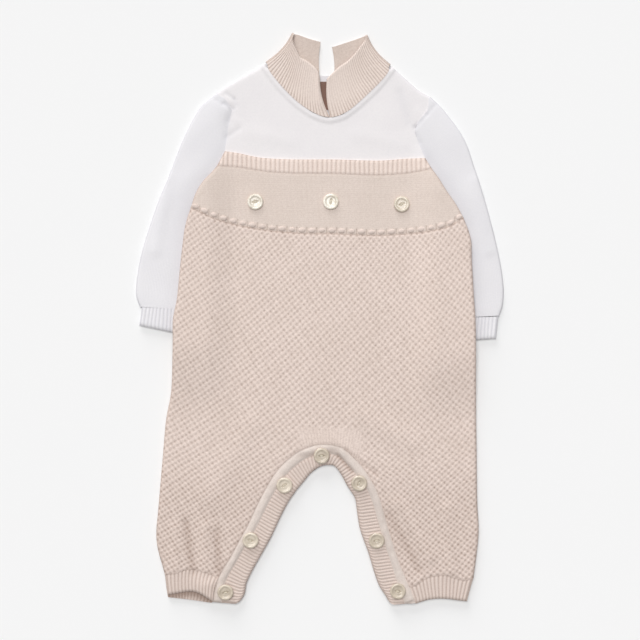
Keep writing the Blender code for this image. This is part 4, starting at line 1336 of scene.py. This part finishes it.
def button(node, turn, tilt, eye, finish):
    """A two-holed button with a raised rim, sewn on with thread through its holes."""
    low, high = (np.array(corner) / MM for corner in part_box(node))
    middle = (low + high) / 2
    radii = np.concatenate([np.linspace(0.02, BUTTON_FACE[-1][0], BUTTON_RINGS), BUTTON_EDGE_RADII])
    angles = np.arange(BUTTON_SIDES) * 2 * math.pi / BUTTON_SIDES
    r, a = np.meshgrid(radii, angles, indexing="ij")
    heights = np.empty_like(r)
    heights[:BUTTON_RINGS] = button_face(r[:BUTTON_RINGS], a[:BUTTON_RINGS], eye)
    heights[BUTTON_RINGS:] = np.array(BUTTON_EDGE_HEIGHTS)[:, None]
    points = np.stack([r * np.cos(a), r * np.sin(a), heights], axis=-1).reshape(-1, 3)
    faces = ringed_faces(len(radii), BUTTON_SIDES)
    pose = Matrix.Rotation(math.radians(tilt), 3, TILT_AXIS) @ Matrix.Rotation(math.radians(turn), 3, "Z")
    place = np.array([middle[0], middle[1], low[2] + abs(math.sin(math.radians(tilt))) * BUTTON_RADIUS])
    points = points @ np.array(pose).T + place - ORIGIN
    piece = make_piece(f"{node}_shell", points, faces, points[:, :2], finish)
    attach(piece, "root")
    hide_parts(node)
    thread(node, np.array(pose), place - ORIGIN)


def thread(node, pose, place):
    """Strands from hole to hole, over the middle of a button."""
    shares = np.linspace(-1, 1, THREAD_STATIONS)
    turn = np.arange(THREAD_SIDES) * 2 * math.pi / THREAD_SIDES
    ring = np.stack([0 * turn, np.cos(turn), -np.sin(turn)], axis=1) * THREAD_RADIUS
    points, faces = [], []
    for strand, offset in enumerate(THREAD_OFFSETS):
        path = np.stack([shares * THREAD_REACH, offset * (1.1 - shares ** 2),
                         THREAD_TOP - THREAD_FALL * shares ** 4], axis=1)
        points.append((path[:, None] + ring[None]).reshape(-1, 3))
        faces += ringed_faces(THREAD_STATIONS, THREAD_SIDES, strand * THREAD_STATIONS * THREAD_SIDES)
    points = np.vstack(points) @ pose.T + place
    piece = make_piece(f"{node}_thread", points, faces, points[:, :2], "thread")
    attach(piece, "root")


def bobble_row():
    """The row of small knots along the seam between the bib and the body."""
    spots = bobble_spots()
    run = np.gradient(spots, axis=0)
    spots = spots + (0, BOBBLE_ABOVE)
    polar = np.linspace(BOBBLE_END, math.pi - BOBBLE_END, BOBBLE_RINGS)
    p, a = np.meshgrid(polar, np.arange(BOBBLE_SIDES) * 2 * math.pi / BOBBLE_SIDES, indexing="ij")
    ball = np.stack([np.cos(p) * BOBBLE_LENGTH, np.sin(p) * np.cos(a) * BOBBLE_WIDTH,
                     np.sin(p) * np.sin(a) * BOBBLE_HEIGHT], axis=-1).reshape(-1, 3) / 2
    points, faces = [], []
    for i, ((x, y), (dx, dy)) in enumerate(zip(spots, run)):
        size = 1 + BOBBLE_UNEVEN * math.sin(2.3 * i)
        spin = Matrix.Rotation(math.atan2(dy, dx) + BOBBLE_LEAN, 3, "Z")
        base = BOBBLE_BASE + float(tuck_lift(np.array([x]), np.array([y]))[0])
        points.append(size * ball @ np.array(spin).T + (x, y, base))
        faces += ringed_faces(BOBBLE_RINGS, BOBBLE_SIDES, i * len(ball))
    points = np.vstack(points)
    # The bobbles take the rib beige's darker copy, as painted shade
    piece = make_piece("bobble_row", points, faces, points[:, :2], "beige_edge_rib")
    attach(piece, "root")
    return piece


def neck_label():
    """A blank woven label sewn inside the back of the neck."""
    low, high = (np.array(corner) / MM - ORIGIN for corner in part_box("neck_label"))
    x, y = np.linspace(low[0], high[0], 43), np.linspace(low[1], high[1], 37)
    u, v = np.meshgrid(x, y, indexing="ij")
    wave = 0.12 * np.sin(u / 4.0) * np.cos(v / 5.5)
    shown = np.dstack([u, v, high[2] + wave])
    hidden = np.dstack([u, v, low[2] + wave])
    knit = np.stack([u, v], axis=-1)
    piece = sheet_mesh("neck_label_cloth", shown, hidden, knit, 0 * u, HIDDEN_EVERY, "brown_tape")
    width, length = high[0] - low[0], high[1] - low[1]
    declare(piece, "neck_label", "brown_tape", width, length, width * length)


# ---------------------------------------------------------------- the romper

def mouth(plan):
    """How far the left ankle's hem is lifted, where the cuff's mouth shows."""
    (x, y), reach = MOUTH_TOP, MOUTH_REACH
    return MOUTH_LIFT * np.exp(-((plan[:, 0] - x) / reach) ** 2) * eased((y + reach - plan[:, 1]) / reach)


def mouth_shade(places):
    """Painted shade on the left ankle's back cuff inside the mouth."""
    points = places.reshape(-1, 2)
    edge = LOOPS["ankle_cuff_left_front"][:, :2]
    gap = distance_to(points, edge, np.roll(edge, -1, axis=0)).reshape(places.shape[:2])
    return MOUTH_SHADE * np.exp(-((gap / MOUTH_SHADE_REACH) ** 2))


flat_panel("yoke_back", jersey_cloth)
flat_panel("bib_back", stocking_cloth)
flat_panel("chest_rib_back", upright_ribs)
flat_panel("body_back", honeycomb_cloth, from_knit)
flat_panel("yoke_front", jersey_cloth, rise=neck_roll)
flat_panel("chest_rib_front", upright_ribs)
flat_panel("bib_front", stocking_cloth, with_pieces=[bobble_row()])
flat_panel("body_front", honeycomb_cloth, from_knit)

for side, rise, shade in (("left", mouth, mouth_shade), ("right", None, None)):
    ribs = ribbed(*ANKLE_RIBS)
    band_panel(f"ankle_cuff_{side}_back", ribs, inside_relief=INSIDE_RELIEF, inside_shade=shade)
    band_panel(f"ankle_cuff_{side}_front", ribs, rise=rise)
for side, ribs in (("back", INSEAM_BACK_RIBS), ("front", INSEAM_RIBS)):
    band_panel(f"inseam_band_{side}", ribbed(*ribs), strip=True, rounding=STRIP_ROUNDING, trim=BAND_TRIM)
band_panel("inseam_roll", rolled_strip, strip=True, trim=ROLL_TRIM)

for node, corners in SLEEVES_LAID:
    wrapped_piece(node, corners, jersey_strip, sleeve_puff)
for node, corners in CUFFS_LAID:
    wrapped_piece(node, corners, ribbed(*SLEEVE_CUFF_RIBS), free=("bottom",))
for node, curl, corners in COLLARS_LAID:
    wrapped_piece(node, corners, collar_ribs, collar_rise(curl), free=("top", "sides"), rim=COLLAR_RIM,
                  lining="beige_plain_knit")

neck_label()
for row in BUTTONS:
    button(*row)


# ---------------------------------------------------------------- studio

def floor():
    bpy.ops.mesh.primitive_plane_add(size=FLOOR_SIZE)
    plane = bpy.context.object
    plane.name = "floor"
    plane.data.materials.append(floor_finish())


def sun(name, lean, bearing, spread_angle, strength):
    """Broad soft light from one direction."""
    data = bpy.data.lights.new(name, "SUN")
    data.angle = math.radians(spread_angle)
    data.energy = strength
    lamp = bpy.data.objects.new(name, data)
    lamp.rotation_euler = (-math.radians(lean), 0, math.radians(bearing))
    bpy.context.collection.objects.link(lamp)


def studio():
    floor()
    world = bpy.data.worlds.new("studio")
    world.use_nodes = True
    world.node_tree.nodes["Background"].inputs["Color"].default_value = (1, 1, 1, 1)
    world.node_tree.nodes["Background"].inputs["Strength"].default_value = WORLD_LIGHT
    bpy.context.scene.world = world
    for row in SUNS:
        sun(*row)
    camera = bpy.data.cameras.new("camera")
    camera.lens = CAMERA_LENS
    camera.sensor_width = CAMERA_SENSOR
    camera.clip_end = 10
    eye = bpy.data.objects.new("camera", camera)
    height = CAMERA_WIDTH * CAMERA_LENS / CAMERA_SENSOR + CAMERA_FOCUS_HEIGHT
    eye.location = (ORIGIN + (0, 0, height)) * MM
    bpy.context.collection.objects.link(eye)
    bpy.context.scene.camera = eye
    bpy.context.scene.view_settings.view_transform = "Standard"


studio()
